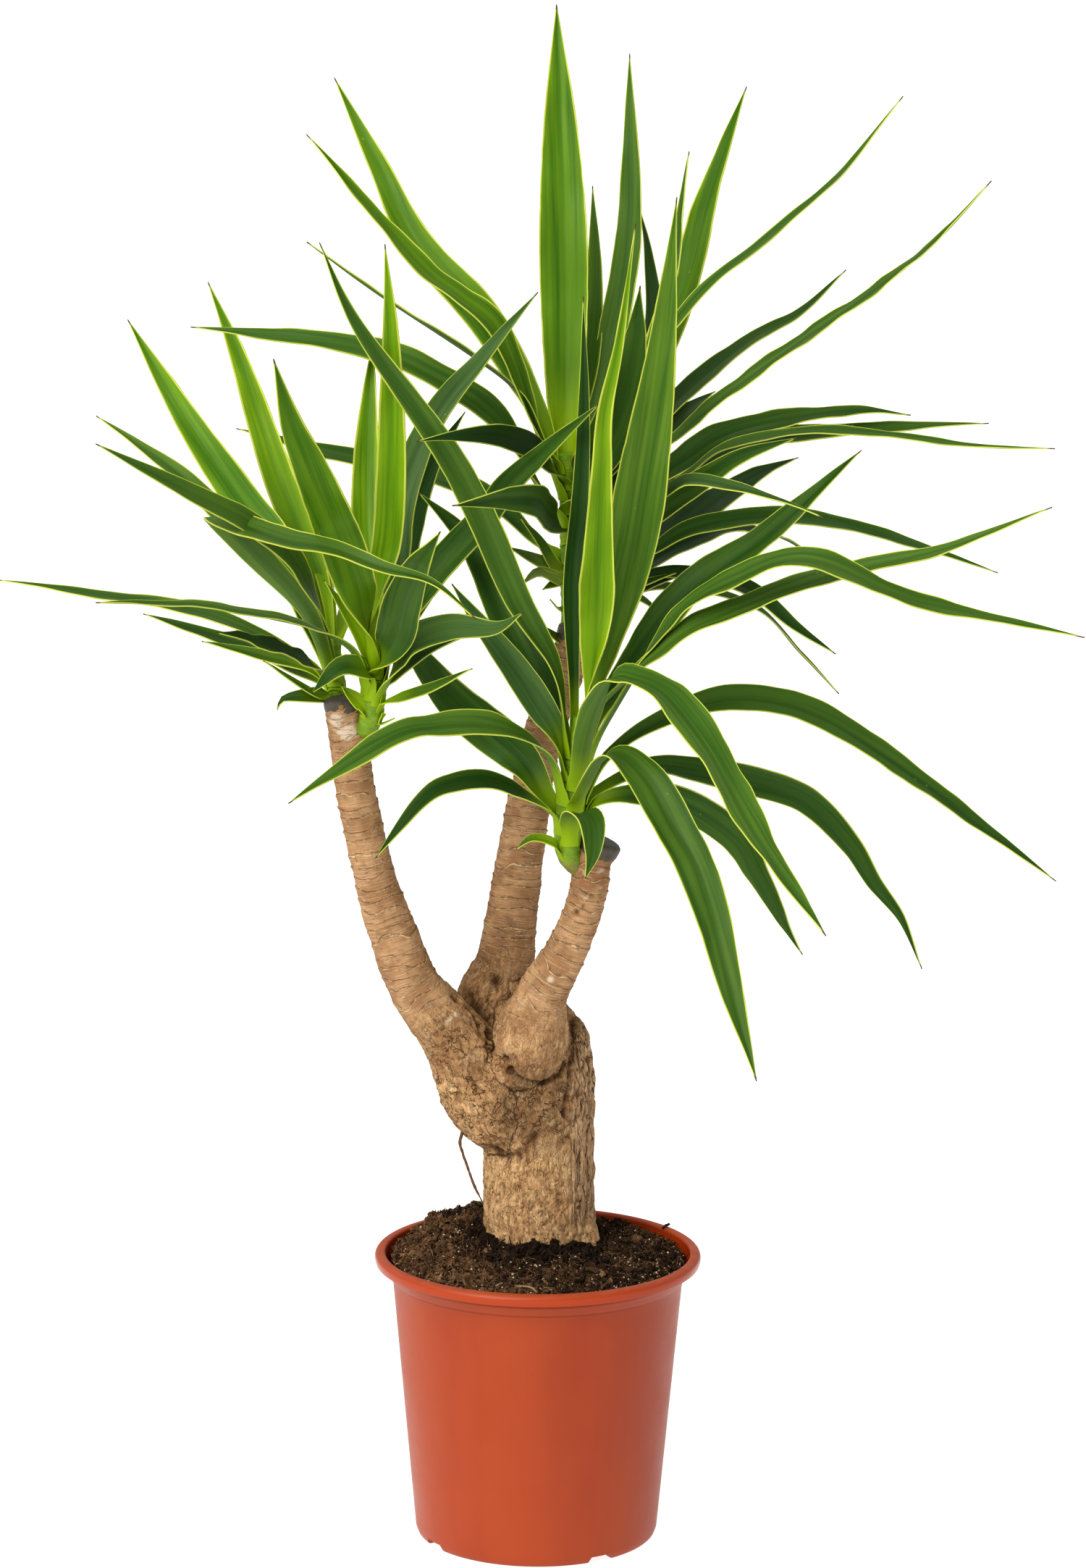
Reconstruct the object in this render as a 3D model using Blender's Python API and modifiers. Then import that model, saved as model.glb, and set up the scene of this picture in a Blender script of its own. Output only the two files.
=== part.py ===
# Potted yucca: three bare canes on one old stump, four leafy shoots and a round nursery pot.
# Frame: origin at the centre of the pot's base on the floor, +X right, +Y back, +Z up, in metres.
# The plant's own points are written in centimetres, as (right, back, up).
import math

import bmesh
import bpy
from mathutils import Matrix, Vector, noise

CM = 0.01
GAP = 0.0003  # between pieces that touch
ROUND_STEPS = 36

# Pot
RIM_RADIUS = 0.120
POT_HEIGHT = 0.214
LIP_WIDTH = 0.008
LIP_DROP = 0.0095
LIP_ROUND = 0.0035
COVE_DROP = 0.009
WALL_TOP_RADIUS = 0.107
WALL_FOOT_RADIUS = 0.0895
FOOT_RADIUS = 0.0865
FOOT_CHAMFER = 0.005
WALL = 0.0018
FLOOR = 0.002
FLOOR_ROUND = 0.004
FLOOR_LIFT = 0.005  # the floor stands this high inside the foot ring
FOOT_RING = 0.0065
PAD_RADIUS = 0.035  # flat centre pad that the pot stands on, with the foot ring
NOTCH_BEARINGS = (32.5, 122.5, 212.5, 302.5)  # degrees right of the front
NOTCH_ANGLE = 17.0
NOTCH_HEIGHT = 0.005
NOTCH_SLANT = 0.0045  # how much nearer its ends are at the top
DRAIN_RADIUS = 0.006
DRAIN_RING = 0.058

# Soil
SOIL_LEVEL = 0.2105
SOIL_RADII = (0.014, 0.028, 0.042, 0.056, 0.070, 0.084, 0.098, 0.1085)  # of the rings of its top
SOIL_SKIRT = 0.194  # the height where its edge meets the pot's wall
SOIL_MOUND = 0.010
SOIL_MOUND_RADIUS = 0.055
SOIL_TILT = 0.025
SOIL_BUMP = 0.0016
SOIL_BUMP_SIZE = 0.022
SOIL_EDGE_DROP = 0.0035
TRUNK_BACK = 0.025  # how far behind the pot's axis the stump stands

# Trunk: (right, back, up, radius), all in cm
STUMP = [
    (-0.3, 2.5, 12.9, 3.6), (-0.2, 2.5, 15.4, 4.3), (-0.1, 2.5, 21.4, 4.3), (-0.4, 2.5, 24.4, 4.05),
    (-0.5, 2.5, 28.4, 4.25), (-0.4, 2.5, 32.4, 4.3), (-0.3, 2.5, 34.9, 4.1), (-0.5, 2.5, 37.4, 3.4),
    (-0.7, 2.5, 39, 2.2),
]
LEFT_CANE = [
    (-2.4, 1.6, 29, 2.4), (-3.2, 1.2, 31, 3.3), (-4.5, 0.8, 33.9, 3.3), (-6.3, 0.4, 36.8, 2.75),
    (-8.4, 0.1, 39.8, 2.25), (-9.3, 0, 41.5, 2.0), (-10.8, 0, 45.5, 1.75), (-12.1, 0, 49.7, 1.45),
    (-13.5, 0, 55.9, 1.36), (-14.3, 0, 62.2, 1.33),
]
BACK_CANE = [
    (-3.4, 3.6, 34.4, 2.7), (-3.7, 4.3, 38.8, 2.6), (-2.6, 4.8, 41.8, 2.15), (-2.2, 5, 45.3, 1.85),
    (-1.6, 5.2, 50.3, 1.68), (-0.5, 5.5, 55.9, 1.45), (0.4, 5.8, 59.6, 1.45), (1.6, 6, 63.2, 1.4),
    (2.6, 6.1, 66.4, 1.33),
]
FRONT_CANE = [
    (-1.3, -0.3, 34, 2.0), (-0.9, -0.8, 36, 2.75), (-0.5, -1.2, 38.4, 2.6), (0, -1.8, 40.5, 2.0),
    (0.65, -2.2, 42.2, 1.75), (1.9, -2.7, 44.5, 1.5), (3.0, -3, 47.3, 1.38), (3.6, -3.1, 49.7, 1.36),
    (3.8, -3.1, 51.3, 1.33), (4.3, -3.2, 52.5, 1.33),
]
TRUNK_SIDES = 14
LIMB_RINGS = 14
CURVE_STEPS = 24  # between two given points, before they are spaced evenly

# Wax seals on the sawn tops: a cup over the cane's end
SEAL_RADIUS = 0.0146
SEAL_HEIGHT = 0.009
SEAL_SKIN = 0.0008
SEAL_SLEEVE = 0.006  # how far it reaches down over the cane
CANE_END_RADIUS = 0.0133

# Shoot stems: they leave the cane's side and turn upward, (right, back, up, radius) in cm
SHOOTS = {
    "left_rear": [
        (-13.9, 0.6, 57.6, 0.6), (-14.5, 2.0, 59, 0.72), (-14.7, 2.5, 61.2, 0.75),
        (-15.2, 2.4, 68.4, 0.55),
    ],
    "left_front": [
        (-13.4, -0.4, 60.2, 0.6), (-12.4, -1.3, 61, 0.72), (-12.1, -1.6, 62.8, 0.68),
        (-11.8, -1.7, 68.4, 0.5),
    ],
    "back": [(1.6, 6.4, 62.2, 0.6), (2.2, 8.2, 64, 0.8), (2.3, 8.6, 66.4, 0.85), (1.8, 7.2, 79.4, 0.6)],
    "front": [
        (3.2, -3.2, 50.3, 0.6), (2.1, -3.5, 51.4, 0.72), (1.7, -3.7, 52.8, 0.76),
        (2.0, -3.8, 55.4, 0.8), (2.8, -4, 61.9, 0.55),
    ],
}

# Thin dry root that hangs from the left cane's swollen foot
HANGING_ROOT = [
    (-5.6, 0.6, 30.6), (-6.0, -0.3, 29.3), (-5.5, -0.7, 27.6), (-4.9, -0.9, 26.3), (-4.2, -1.0, 25),
]
ROOT_RADIUS = 0.0009

# Leaves
BLADE = 0.0012
HEEL = 0.7  # how far a leaf climbs its stem before it leaves, in cm
LEAF_STEPS = 8
LEAF_CHANNEL = 0.22  # how deep the blade's V is, as a part of its half width
LEAF_NECK = 0.42  # the width where it leaves the stem, as a part of the full width
LEAF_WIDEST = 0.42  # how far up the leaf it is widest
TIP_WIDTH = 0.0008
CLASP = 0.3  # the share of its length over which a leaf untwists from its stem
EYE = Vector((0, -350, 122))  # leaves lean along lines of sight from here, which keeps their outline, in cm
LEAN_CURVE = 1.3  # above 1, a leaf leans more the nearer its tip

# Each leaf: the height where it leaves its shoot, its width, how many degrees its face is turned from
# the sky to the front, its twist in degrees, how far its tip leans back (front if below 0), and the
# points that its midrib passes through before it leans. In cm.
LEAVES = {
    "left_rear": [
        (64.6, 2.7, 75, 0, 14, [
            (-16.5, 2.0, 67.4), (-19, 3, 72.9), (-21.7, 3.2, 76.4), (-25.6, 3.6, 82.1),
            (-29.9, 4, 89.3),
        ]),
        (66, 2.4, 70, 0, 18, [
            (-16.0, 4.6, 69.9), (-17.6, 5.2, 73.9), (-19.2, 5.2, 77.9), (-22, 5.4, 86.4),
            (-24.2, 5.4, 91.9),
        ]),
        (63.8, 2.1, 30, 0, 14, [
            (-17, 4.1, 67.2), (-18.7, 5.4, 70.2), (-24.4, 6.8, 75.8), (-27.2, 7, 78.3), (-32.5, 7, 82),
        ]),
        (65.4, 2.6, 55, -30, -14, [
            (-16.2, 1.0, 68.8), (-18.0, 0.5, 72.6), (-20.9, 0.6, 75), (-24.3, 0.8, 76.8),
            (-32, 1, 80.7),
        ]),
        (62.7, 1.9, 20, 0, 8, [
            (-17.0, 2.6, 64.6), (-22.7, 3, 67.5), (-27.5, 3, 68.7), (-32.3, 3, 69.4), (-39.4, 3, 70.5),
        ]),
        (63.6, 2.6, 50, 0, -14, [(-17.2, -0.3, 65.2), (-20.4, -1.6, 66.7), (-23.2, -2.4, 67.6)]),
        (67.2, 2.0, 80, 0, 16, [(-13.6, 4.3, 70), (-14.6, 5.8, 72.4), (-17.3, 6.2, 77.2)]),
    ],
    "left_front": [
        (66.6, 2.0, -80, 0, -3, [
            (-11.6, -2.7, 70.4), (-10.9, -2.4, 75.6), (-10.7, -2.2, 81.9), (-10.8, -2, 89.5),
            (-11.2, -2, 95.3),
        ]),
        (67.8, 1.6, 75, 0, 12, [
            (-12.4, -1.0, 70.9), (-12.9, -0.5, 75.4), (-12.9, -0.2, 81.9), (-12.3, 0, 88.4),
        ]),
        (66, 3.2, 85, 0, -14, [
            (-12.9, -3.0, 69.7), (-14.1, -3.4, 73.9), (-16.1, -3.6, 78.9), (-17.8, -3.6, 83),
            (-19, -3.4, 87.3),
        ]),
        (65.4, 2.9, 55, 0, -12, [
            (-10.4, -3.4, 67.8), (-9.7, -3.9, 70.6), (-8.7, -4, 73), (-7.2, -4.1, 75.2),
        ]),
        (66.4, 2.3, 60, 0, 2, [
            (-10.4, -1.0, 71.4), (-9.9, 0.3, 77.4), (-7.6, 1, 82.9), (-4, 1.2, 87.4),
            (-0.4, 1.4, 91.7),
        ]),
        (64.4, 2.4, 60, 0, 0, [
            (-10.4, -1.6, 67), (-7.9, -1.5, 71.4), (-3.8, 0.3, 76), (-1.8, 0.3, 78.6),
            (4.0, -3.6, 84.3),
        ]),
        (64, 1.9, 20, 0, -14, [
            (-13.6, -2.2, 66.2), (-16.3, -2.7, 67.9), (-20.6, -3.3, 69), (-25.1, -3.6, 69.7),
            (-31.7, -3.6, 69.9),
        ]),
        (62.8, 2.3, 60, 20, -5, [
            (-10.7, -2.8, 64.4), (-9.2, -3.6, 67.1), (-6.4, -4.5, 68.4), (-3.2, -5.3, 68.5),
            (-1.3, -5.8, 69.7),
        ]),
        (65, 2.4, 60, 0, 14, [(-10.8, 1.0, 69.4), (-9.5, 2.0, 75), (-8, 2.4, 79), (-5.6, 2.2, 83)]),
    ],
    "back": [
        (78, 3.2, 85, 0, 8, [(1.6, 8.6, 82), (1.5, 9, 90.1), (1.3, 9.4, 98.1), (0.8, 9.6, 111.7)]),
        (76.8, 2.2, 25, 0, 14, [(3.9, 8.6, 82.4), (5.9, 9.6, 92.4), (6.3, 9.8, 98.4), (6.1, 9.8, 108.2)]),
        (75, 2.8, 85, 0, -4, [(3.2, 4.4, 78.4), (5.3, 3.6, 82.4), (6.5, 2.6, 87.6), (6.9, 2.5, 92.1)]),
        (75.8, 2.6, 40, 0, 12, [(5.6, 8.0, 80.4), (10, 9.5, 90.7), (11.9, 10, 97.9), (14.6, 10, 105.9)]),
        (76.2, 2.0, -5, 0, 8, [(5.2, 6.6, 81.4), (10.6, 5.8, 90.2), (17.1, 5.4, 97), (25.6, 5, 105.5)]),
        (73.6, 2.6, 40, -10, -14, [
            (4.6, 5.3, 75.6), (9.2, 3.4, 79.8), (13.6, 2.4, 84.5), (23.8, 1.5, 93), (31.7, 1, 99.8),
        ]),
        (74.4, 2.3, 35, 0, 20, [
            (5.5, 8.6, 78.4), (9.9, 10, 83.1), (15.1, 11, 87.3), (18.8, 11, 89.4), (22.1, 11, 92.6),
        ]),
        (72.6, 2.7, 45, 0, 8, [
            (5, 7.4, 75), (10, 8.2, 78.6), (14.2, 8.6, 81), (22, 9, 82.4), (26.9, 9, 82.2),
        ]),
        (71.8, 1.8, 0, 0, -6, [
            (4.8, 5.6, 73.6), (10.3, 4.6, 78), (13.8, 4.3, 80.4), (20.8, 4, 81.5), (31.4, 4, 80.5),
            (37, 4, 80.4),
        ]),
        (70.8, 2.9, 50, 0, 20, [
            (4.8, 9.2, 71.4), (8.5, 11, 72.6), (11.6, 12, 74.4), (15.2, 12.5, 76.9),
            (18.9, 12.5, 78.6),
        ]),
        (70.2, 2.0, 50, -60, -9, [
            (4.4, 3.6, 73.2), (9, 2.0, 77.2), (11.3, 2.2, 78.1), (17.1, 1.9, 76.7), (20.2, 1.8, 75.6),
        ]),
        (69.4, 2.1, 20, 0, 14, [
            (4.6, 7.1, 70.6), (8, 7.2, 72.2), (11.5, 7.4, 74.1), (18, 7.6, 74.8), (24.6, 7.6, 73.6),
            (33.4, 7.6, 70.8),
        ]),
        (67.8, 2.3, 20, 40, -4, [
            (4.5, 6.2, 69.2), (7.7, 5.6, 70.6), (14.1, 5.4, 70.2), (18.4, 5.2, 67.1),
            (21.5, 5.2, 65.1),
        ]),
        (77.2, 2.7, 75, 0, 14, [
            (0.0, 7.9, 81.4), (-4.1, 8.6, 88.8), (-9.1, 8.6, 94.4), (-12, 8.6, 100.1),
            (-15.2, 8.6, 106.4),
        ]),
        (76, 2.4, 40, 0, 6, [
            (-0.6, 5.2, 81.4), (-3.2, 4.4, 88.4), (-6, 4.2, 91), (-9.3, 4.2, 93.7), (-17, 4, 102.6),
        ]),
        (74, 2.5, 50, 0, 4, [
            (-0.8, 5.3, 77.8), (-3.5, 4.2, 82.4), (-7.6, 3.4, 85.3), (-13.2, 3, 87.5),
            (-25.3, 3, 88.9),
        ]),
        (71, 2.3, 45, 0, 18, [
            (-0.6, 8.4, 72.8), (-3.7, 9.6, 75.6), (-7.9, 10.5, 77.3), (-15.6, 11.4, 78.8),
            (-22.6, 11.6, 80.6),
        ]),
        (72.8, 2.3, 30, 0, -14, [(0.3, 4.9, 75.4), (-0.8, 3.4, 77.1), (-3.8, 1.3, 77.6), (-6.5, -0.9, 76.7)]),
    ],
    "front": [
        (59, 2.8, 75, 0, -5, [
            (0.9, -3.9, 65.4), (-1.6, -3.7, 70), (-5, -3.2, 77.5), (-7.7, -2.9, 82),
            (-13.2, -2.4, 89.7), (-15.8, -2.2, 95.4),
        ]),
        (60.8, 2.5, 88, 0, -4, [
            (3.3, -5.3, 65.4), (3.9, -5.6, 75.1), (4.3, -5.6, 84.6), (5.4, -5.4, 90.5),
            (6.4, -5.2, 97.1),
        ]),
        (60, 3.6, 85, 0, 0, [
            (4.7, -3.5, 64.2), (6.6, -3.4, 73.7), (7.8, -3.4, 81.7), (8.8, -3.3, 89.7),
            (9.3, -3.2, 98.8),
        ]),
        (59.2, 2.9, 60, 0, 3, [
            (4.4, -2.0, 62), (7.8, -1.8, 67.3), (10.8, -1.4, 71), (15.9, -1.2, 74.6), (22.7, -1, 80.8),
        ]),
        (57.8, 2.7, 35, 0, -8, [
            (4.8, -4.7, 61.6), (9.5, -5, 69.1), (13.7, -5.1, 72), (18.9, -5.4, 73.5),
            (26.5, -5.6, 70.6), (38.4, -6, 68.2),
        ]),
        (58.6, 2.0, 30, 0, -14, [
            (4.0, -5.6, 62.6), (9.3, -7.6, 68), (12.5, -8.4, 69.9), (19.8, -8.8, 72.8),
            (28.3, -9, 74.9), (35.5, -9, 77.9),
        ]),
        (56.6, 3.5, 35, 0, -6, [
            (3.3, -7.2, 60.8), (5.0, -8.8, 64.4), (8.3, -10.2, 65.6), (11.6, -11.6, 63),
            (15.4, -12.9, 58.3), (20, -14.2, 48.3),
        ]),
        (55, 3.5, 70, 0, -9, [
            (3.1, -6.4, 57.8), (4.6, -8, 59.4), (6.8, -9.6, 59.7), (9.2, -11.3, 58),
            (11.4, -12.7, 54.9), (14.3, -14, 44.6), (15.3, -14, 37.8),
        ]),
        (55.6, 2.3, 20, 0, 10, [
            (4.8, -3.2, 58.8), (8.4, -3.2, 61.4), (13.3, -3.6, 63.2), (18.7, -4.4, 62.6),
            (24.6, -5, 59.3), (36.8, -6, 50.6),
        ]),
        (53.8, 2.7, 30, 0, 12, [
            (3.8, -4.4, 55.6), (6.1, -5, 56.4), (9.8, -5.4, 56.2), (13.8, -5.6, 53.7),
            (15.7, -5.8, 50.7), (18.8, -6, 45.1),
        ]),
        (52.6, 2.3, 25, 0, -4, [
            (2.3, -5.6, 54.6), (2.9, -6.6, 55.4), (3.6, -7.5, 54.8), (3.7, -8, 52.8), (3.2, -8.1, 51),
        ]),
        (55.6, 2.7, 35, 0, -8, [
            (0.7, -4.4, 58.4), (-0.2, -5.2, 59.9), (-1.9, -6, 61), (-4.4, -6.6, 61.7),
            (-7.5, -7, 61.6), (-10.7, -7.5, 60.8), (-17.8, -8.5, 56.4),
        ]),
        (53.4, 1.6, 0, 0, -3, [
            (0.7, -4.6, 55), (-1.8, -5.2, 56.7), (-3.8, -5.6, 57.5), (-6, -6, 57.4),
            (-8.2, -6.3, 56.4), (-11.7, -7, 52.2),
        ]),
        (54.2, 3.2, 85, 0, 9, [
            (0.1, -3.2, 56.2), (-1.6, -2.4, 58.8), (-6, -1.4, 62.4), (-8.9, -0.4, 65.8),
            (-10.2, 0.8, 68),
        ]),
        (57.6, 2.8, 70, 0, 5, [
            (0.9, -3.0, 61.8), (-1.7, -2.0, 67.2), (-3.0, -1.2, 69.7), (-4.3, -0.5, 72.3),
            (-5.8, 0.2, 74.5), (-8.9, 0.6, 77.4),
        ]),
    ],
}


def new_object(name, mesh, collection):
    obj = bpy.data.objects.new(name, mesh)
    collection.objects.link(obj)
    return obj


def new_material(name, colour, roughness):
    material = bpy.data.materials.new(name)
    material.use_nodes = True
    shader = material.node_tree.nodes["Principled BSDF"]
    shader.inputs["Base Color"].default_value = (*colour, 1)
    shader.inputs["Roughness"].default_value = roughness
    return material


def dress(obj, material, crease=35):
    obj.data.materials.clear()
    obj.data.materials.append(material)
    obj.data.shade_smooth()
    obj.data.set_sharp_from_angle(angle=math.radians(crease))
    return obj


def realise(obj):
    """Turns a curve, or an object with modifiers, into a plain mesh with welded points."""
    graph = bpy.context.evaluated_depsgraph_get()
    mesh = bpy.data.meshes.new_from_object(obj.evaluated_get(graph))
    shape = bmesh.new()
    shape.from_mesh(mesh)
    bmesh.ops.remove_doubles(shape, verts=shape.verts, dist=1e-6)
    bmesh.ops.recalc_face_normals(shape, faces=shape.faces)
    shape.to_mesh(mesh)
    shape.free()
    name, collection, place = obj.name, obj.users_collection[0], obj.matrix_world.copy()
    bpy.data.objects.remove(obj)
    result = new_object(name, mesh, collection)
    result.matrix_world = place
    return result


def boolean(obj, other, operation):
    modifier = obj.modifiers.new(operation.title(), "BOOLEAN")
    modifier.operation = operation
    modifier.object = other
    return modifier


def as_cutter(obj):
    obj.hide_render = True
    obj.display_type = "WIRE"
    return obj


def smooth_route(points, count):
    """Evenly spaced points on a Catmull-Rom curve through the given ones. A fourth value is kept."""
    known = [Vector(point) for point in points]
    known = [known[0] * 2 - known[1], *known, known[-1] * 2 - known[-2]]
    fine = []
    for a, b, c, d in zip(known, known[1:], known[2:], known[3:]):
        for step in range(CURVE_STEPS):
            t = step / CURVE_STEPS
            square, cube = (2 * a - 5 * b + 4 * c - d) * t**2, (3 * b - a - 3 * c + d) * t**3
            fine.append(0.5 * (2 * b + (c - a) * t + square + cube))
    fine.append(known[-2])
    walked = [0.0]
    for before, after in zip(fine, fine[1:]):
        walked.append(walked[-1] + (after - before).xyz.length)
    even, index = [], 0
    for step in range(count):
        wanted = walked[-1] * step / (count - 1)
        while index < len(walked) - 2 and walked[index + 1] < wanted:
            index += 1
        share = (wanted - walked[index]) / (walked[index + 1] - walked[index])
        even.append(fine[index].lerp(fine[index + 1], min(share, 1)))
    return even


def tube(name, points, count, sides, collection, grow=0.0):
    """A round limb through points of (right, back, up, radius) in cm, with flat ends."""
    curve = bpy.data.curves.new(name, "CURVE")
    curve.dimensions = "3D"
    curve.bevel_depth = 1
    curve.bevel_resolution = (sides - 4) // 2
    curve.use_fill_caps = True
    curve.twist_mode = "MINIMUM"
    route = smooth_route(points, count)
    for end, beside in ((0, 1), (-1, -2)):
        outward = (route[end] - route[beside]).xyz.normalized() * grow / CM
        route[end] = Vector((*(route[end].xyz + outward), route[end].w))
    spline = curve.splines.new("POLY")
    spline.points.add(count - 1)
    for point, (x, y, z, radius) in zip(spline.points, route):
        point.co = (x * CM, y * CM, z * CM, 1)
        point.radius = radius * CM + grow
    return realise(new_object(name, curve, collection))


def turned(name, profile, steps, collection):
    """A body turned round Z from (radius, height) points that start and end on the axis."""
    mesh = bpy.data.meshes.new(name)
    edges = [(i, i + 1) for i in range(len(profile) - 1)]
    mesh.from_pydata([(radius, 0, height) for radius, height in profile], edges, [])
    obj = new_object(name, mesh, collection)
    screw = obj.modifiers.new("Turn", "SCREW")
    screw.steps = screw.render_steps = steps
    screw.use_merge_vertices = True
    screw.merge_threshold = 1e-5
    return obj


def inner_radius(height):
    """The pot's inside radius at a height above the floor plate."""
    share = (height - FOOT_CHAMFER) / (POT_HEIGHT - LIP_DROP - COVE_DROP - FOOT_CHAMFER)
    return WALL_FOOT_RADIUS + (WALL_TOP_RADIUS - WALL_FOOT_RADIUS) * share - WALL


def pot_profile():
    """From the middle of the floor up the inside, over the lip and down the outside to the centre pad."""
    lip_foot = POT_HEIGHT - LIP_DROP
    shoulder = lip_foot - COVE_DROP
    floor_top = FLOOR_LIFT + FLOOR
    corner = floor_top + FLOOR_ROUND
    lip_inside = RIM_RADIUS - LIP_WIDTH
    ring_inside = FOOT_RADIUS - FOOT_RING
    inside = [
        (0, FLOOR), (PAD_RADIUS - FLOOR, FLOOR), (PAD_RADIUS + 0.003, floor_top),
        (inner_radius(corner) - FLOOR_ROUND, floor_top), (inner_radius(corner), corner),
        (inner_radius(shoulder), shoulder), (lip_inside - 0.0005, lip_foot + 0.002),
        (lip_inside, POT_HEIGHT - 0.0015), (lip_inside + 0.0015, POT_HEIGHT),
    ]
    rounded = [
        (RIM_RADIUS - LIP_ROUND * (1 - math.sin(angle)), POT_HEIGHT - LIP_ROUND * (1 - math.cos(angle)))
        for angle in (0, math.pi / 6, math.pi / 3, math.pi / 2)
    ]
    outside = [
        (RIM_RADIUS - 0.0003, lip_foot + 0.002), (RIM_RADIUS - 0.003, lip_foot),
        (WALL_TOP_RADIUS + 0.0052, lip_foot - 0.0008), (WALL_TOP_RADIUS + 0.0028, shoulder + 0.003),
        (WALL_TOP_RADIUS + 0.0014, shoulder + 0.0004), (WALL_TOP_RADIUS, shoulder - 0.0006),
        (WALL_FOOT_RADIUS, FOOT_CHAMFER), (FOOT_RADIUS + 0.0016, 0.0012), (FOOT_RADIUS, 0),
        (ring_inside, 0), (ring_inside - 0.001, FLOOR_LIFT), (PAD_RADIUS + FLOOR_LIFT, FLOOR_LIFT),
        (PAD_RADIUS, 0), (0, 0),
    ]
    return inside + rounded + outside


def cut_notch(pot, name, turn, cutters):
    """A drain notch through the foot ring, narrower at its top."""
    half = FOOT_RADIUS * math.tan(math.radians(NOTCH_ANGLE / 2))
    shape = bmesh.new()
    bmesh.ops.create_cube(shape, size=1)
    for vert in shape.verts:
        top = vert.co.z > 0
        along = half - NOTCH_SLANT if top else half
        height = NOTCH_HEIGHT if top else -NOTCH_HEIGHT
        vert.co = (FOOT_RADIUS - FOOT_RING / 2 + vert.co.x * 2 * FOOT_RING, vert.co.y * 2 * along, height)
    bmesh.ops.transform(shape, matrix=turn, verts=shape.verts)
    notch = as_cutter(new_object(name, bpy.data.meshes.new(name), cutters))
    shape.to_mesh(notch.data)
    shape.free()
    boolean(pot, notch, "DIFFERENCE")


def cut_drain(pot, name, turn, cutters):
    """A round drain hole through the floor."""
    place = turn @ Matrix.Translation((DRAIN_RING, 0, FLOOR_LIFT + FLOOR / 2))
    shape = bmesh.new()
    bmesh.ops.create_cone(
        shape, cap_ends=True, segments=12, radius1=DRAIN_RADIUS, radius2=DRAIN_RADIUS,
        depth=4 * FLOOR, matrix=place,
    )
    drain = as_cutter(new_object(name, bpy.data.meshes.new(name), cutters))
    shape.to_mesh(drain.data)
    shape.free()
    boolean(pot, drain, "DIFFERENCE")


def make_pot(parts, cutters, material):
    pot = turned("nursery_pot", pot_profile(), ROUND_STEPS, parts)
    for number, bearing in enumerate(NOTCH_BEARINGS, 1):
        turn = Matrix.Rotation(math.radians(bearing - 90), 4, "Z")
        cut_notch(pot, f"notch_cutter_{number}", turn, cutters)
        cut_drain(pot, f"drain_cutter_{number}", turn, cutters)
    return dress(realise(pot), material)


def soil_height(x, y):
    """The top of the soil: mounded round the stump, higher at the left and back, lower at its edge."""
    mound = SOIL_MOUND * math.exp(-((math.hypot(x, y - TRUNK_BACK) / SOIL_MOUND_RADIUS - 0.36) ** 2))
    slope = SOIL_TILT * (0.6 * y - 0.8 * x) * (0.6 + 0.4 * math.tanh(-x / 0.04))
    bumps = SOIL_BUMP * noise.noise(Vector((x, y, 0)) / SOIL_BUMP_SIZE)
    edge = SOIL_EDGE_DROP * max(0, (math.hypot(x, y) - 0.09) / 0.02)
    return SOIL_LEVEL + mound + slope + bumps - edge


def make_soil(parts, stump_cutter, material):
    low = FLOOR_LIFT + FLOOR + GAP
    corner = low + FLOOR_ROUND
    clear = GAP * 2
    profile = [(0, SOIL_LEVEL), *((radius, SOIL_LEVEL) for radius in SOIL_RADII)]
    profile += [(inner_radius(SOIL_SKIRT) - clear, SOIL_SKIRT), (inner_radius(corner) - clear, corner)]
    profile += [(inner_radius(corner) - clear - FLOOR_ROUND, low), (0, low)]
    soil = realise(turned("potting_soil", profile, ROUND_STEPS, parts))
    for vert in soil.data.vertices:
        if vert.co.z > SOIL_LEVEL - GAP:
            vert.co.z = soil_height(vert.co.x, vert.co.y)
    boolean(soil, stump_cutter, "DIFFERENCE")
    return dress(realise(soil), material)


def make_trunk(parts, material):
    trunk = tube("trunk", STUMP, LIMB_RINGS, TRUNK_SIDES, parts)
    limbs = [
        tube("left_limb", LEFT_CANE, LIMB_RINGS, TRUNK_SIDES, parts),
        tube("back_limb", BACK_CANE, LIMB_RINGS, TRUNK_SIDES, parts),
        tube("front_limb", FRONT_CANE, LIMB_RINGS, TRUNK_SIDES, parts),
    ]
    for limb in limbs:
        boolean(trunk, limb, "UNION")
    trunk = realise(trunk)
    for limb in limbs:
        bpy.data.objects.remove(limb)
    return dress(trunk, material, 60)


def cane_end(cane):
    """The middle of a cane's sawn top, and the way it points."""
    before, last = smooth_route(cane, LIMB_RINGS)[-2:]
    return last.xyz * CM, (last - before).xyz.normalized()


def make_seal(name, cane, parts, material):
    top, away = cane_end(cane)
    bore = CANE_END_RADIUS + GAP * 2
    cap = SEAL_HEIGHT - SEAL_SLEEVE
    profile = [
        (0, cap), (SEAL_RADIUS * 0.8, cap), (SEAL_RADIUS * 0.95, cap - 0.0006), (SEAL_RADIUS, cap - 0.0022),
        (SEAL_RADIUS, 0.001 - SEAL_SLEEVE), (bore + SEAL_SKIN, -SEAL_SLEEVE), (bore, -SEAL_SLEEVE),
        (bore, GAP), (0, GAP),
    ]
    seal = realise(turned(name, profile, 16, parts))
    seal.location = top
    seal.rotation_euler = away.to_track_quat("Z", "Y").to_euler()
    return dress(seal, material)


def grown_limb(name, limb, cutters):
    return as_cutter(tube(name, limb, LIMB_RINGS, TRUNK_SIDES, cutters, GAP))


def shoot_axis(points, height):
    """The shoot's centre and radius, in cm, at a height on it."""
    for low, high in zip(points[1:], points[2:]):
        if height <= high[2] or high is points[-1]:
            share = (height - low[2]) / (high[2] - low[2])
            return Vector(low).lerp(Vector(high), min(max(share, 0), 1))


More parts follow.
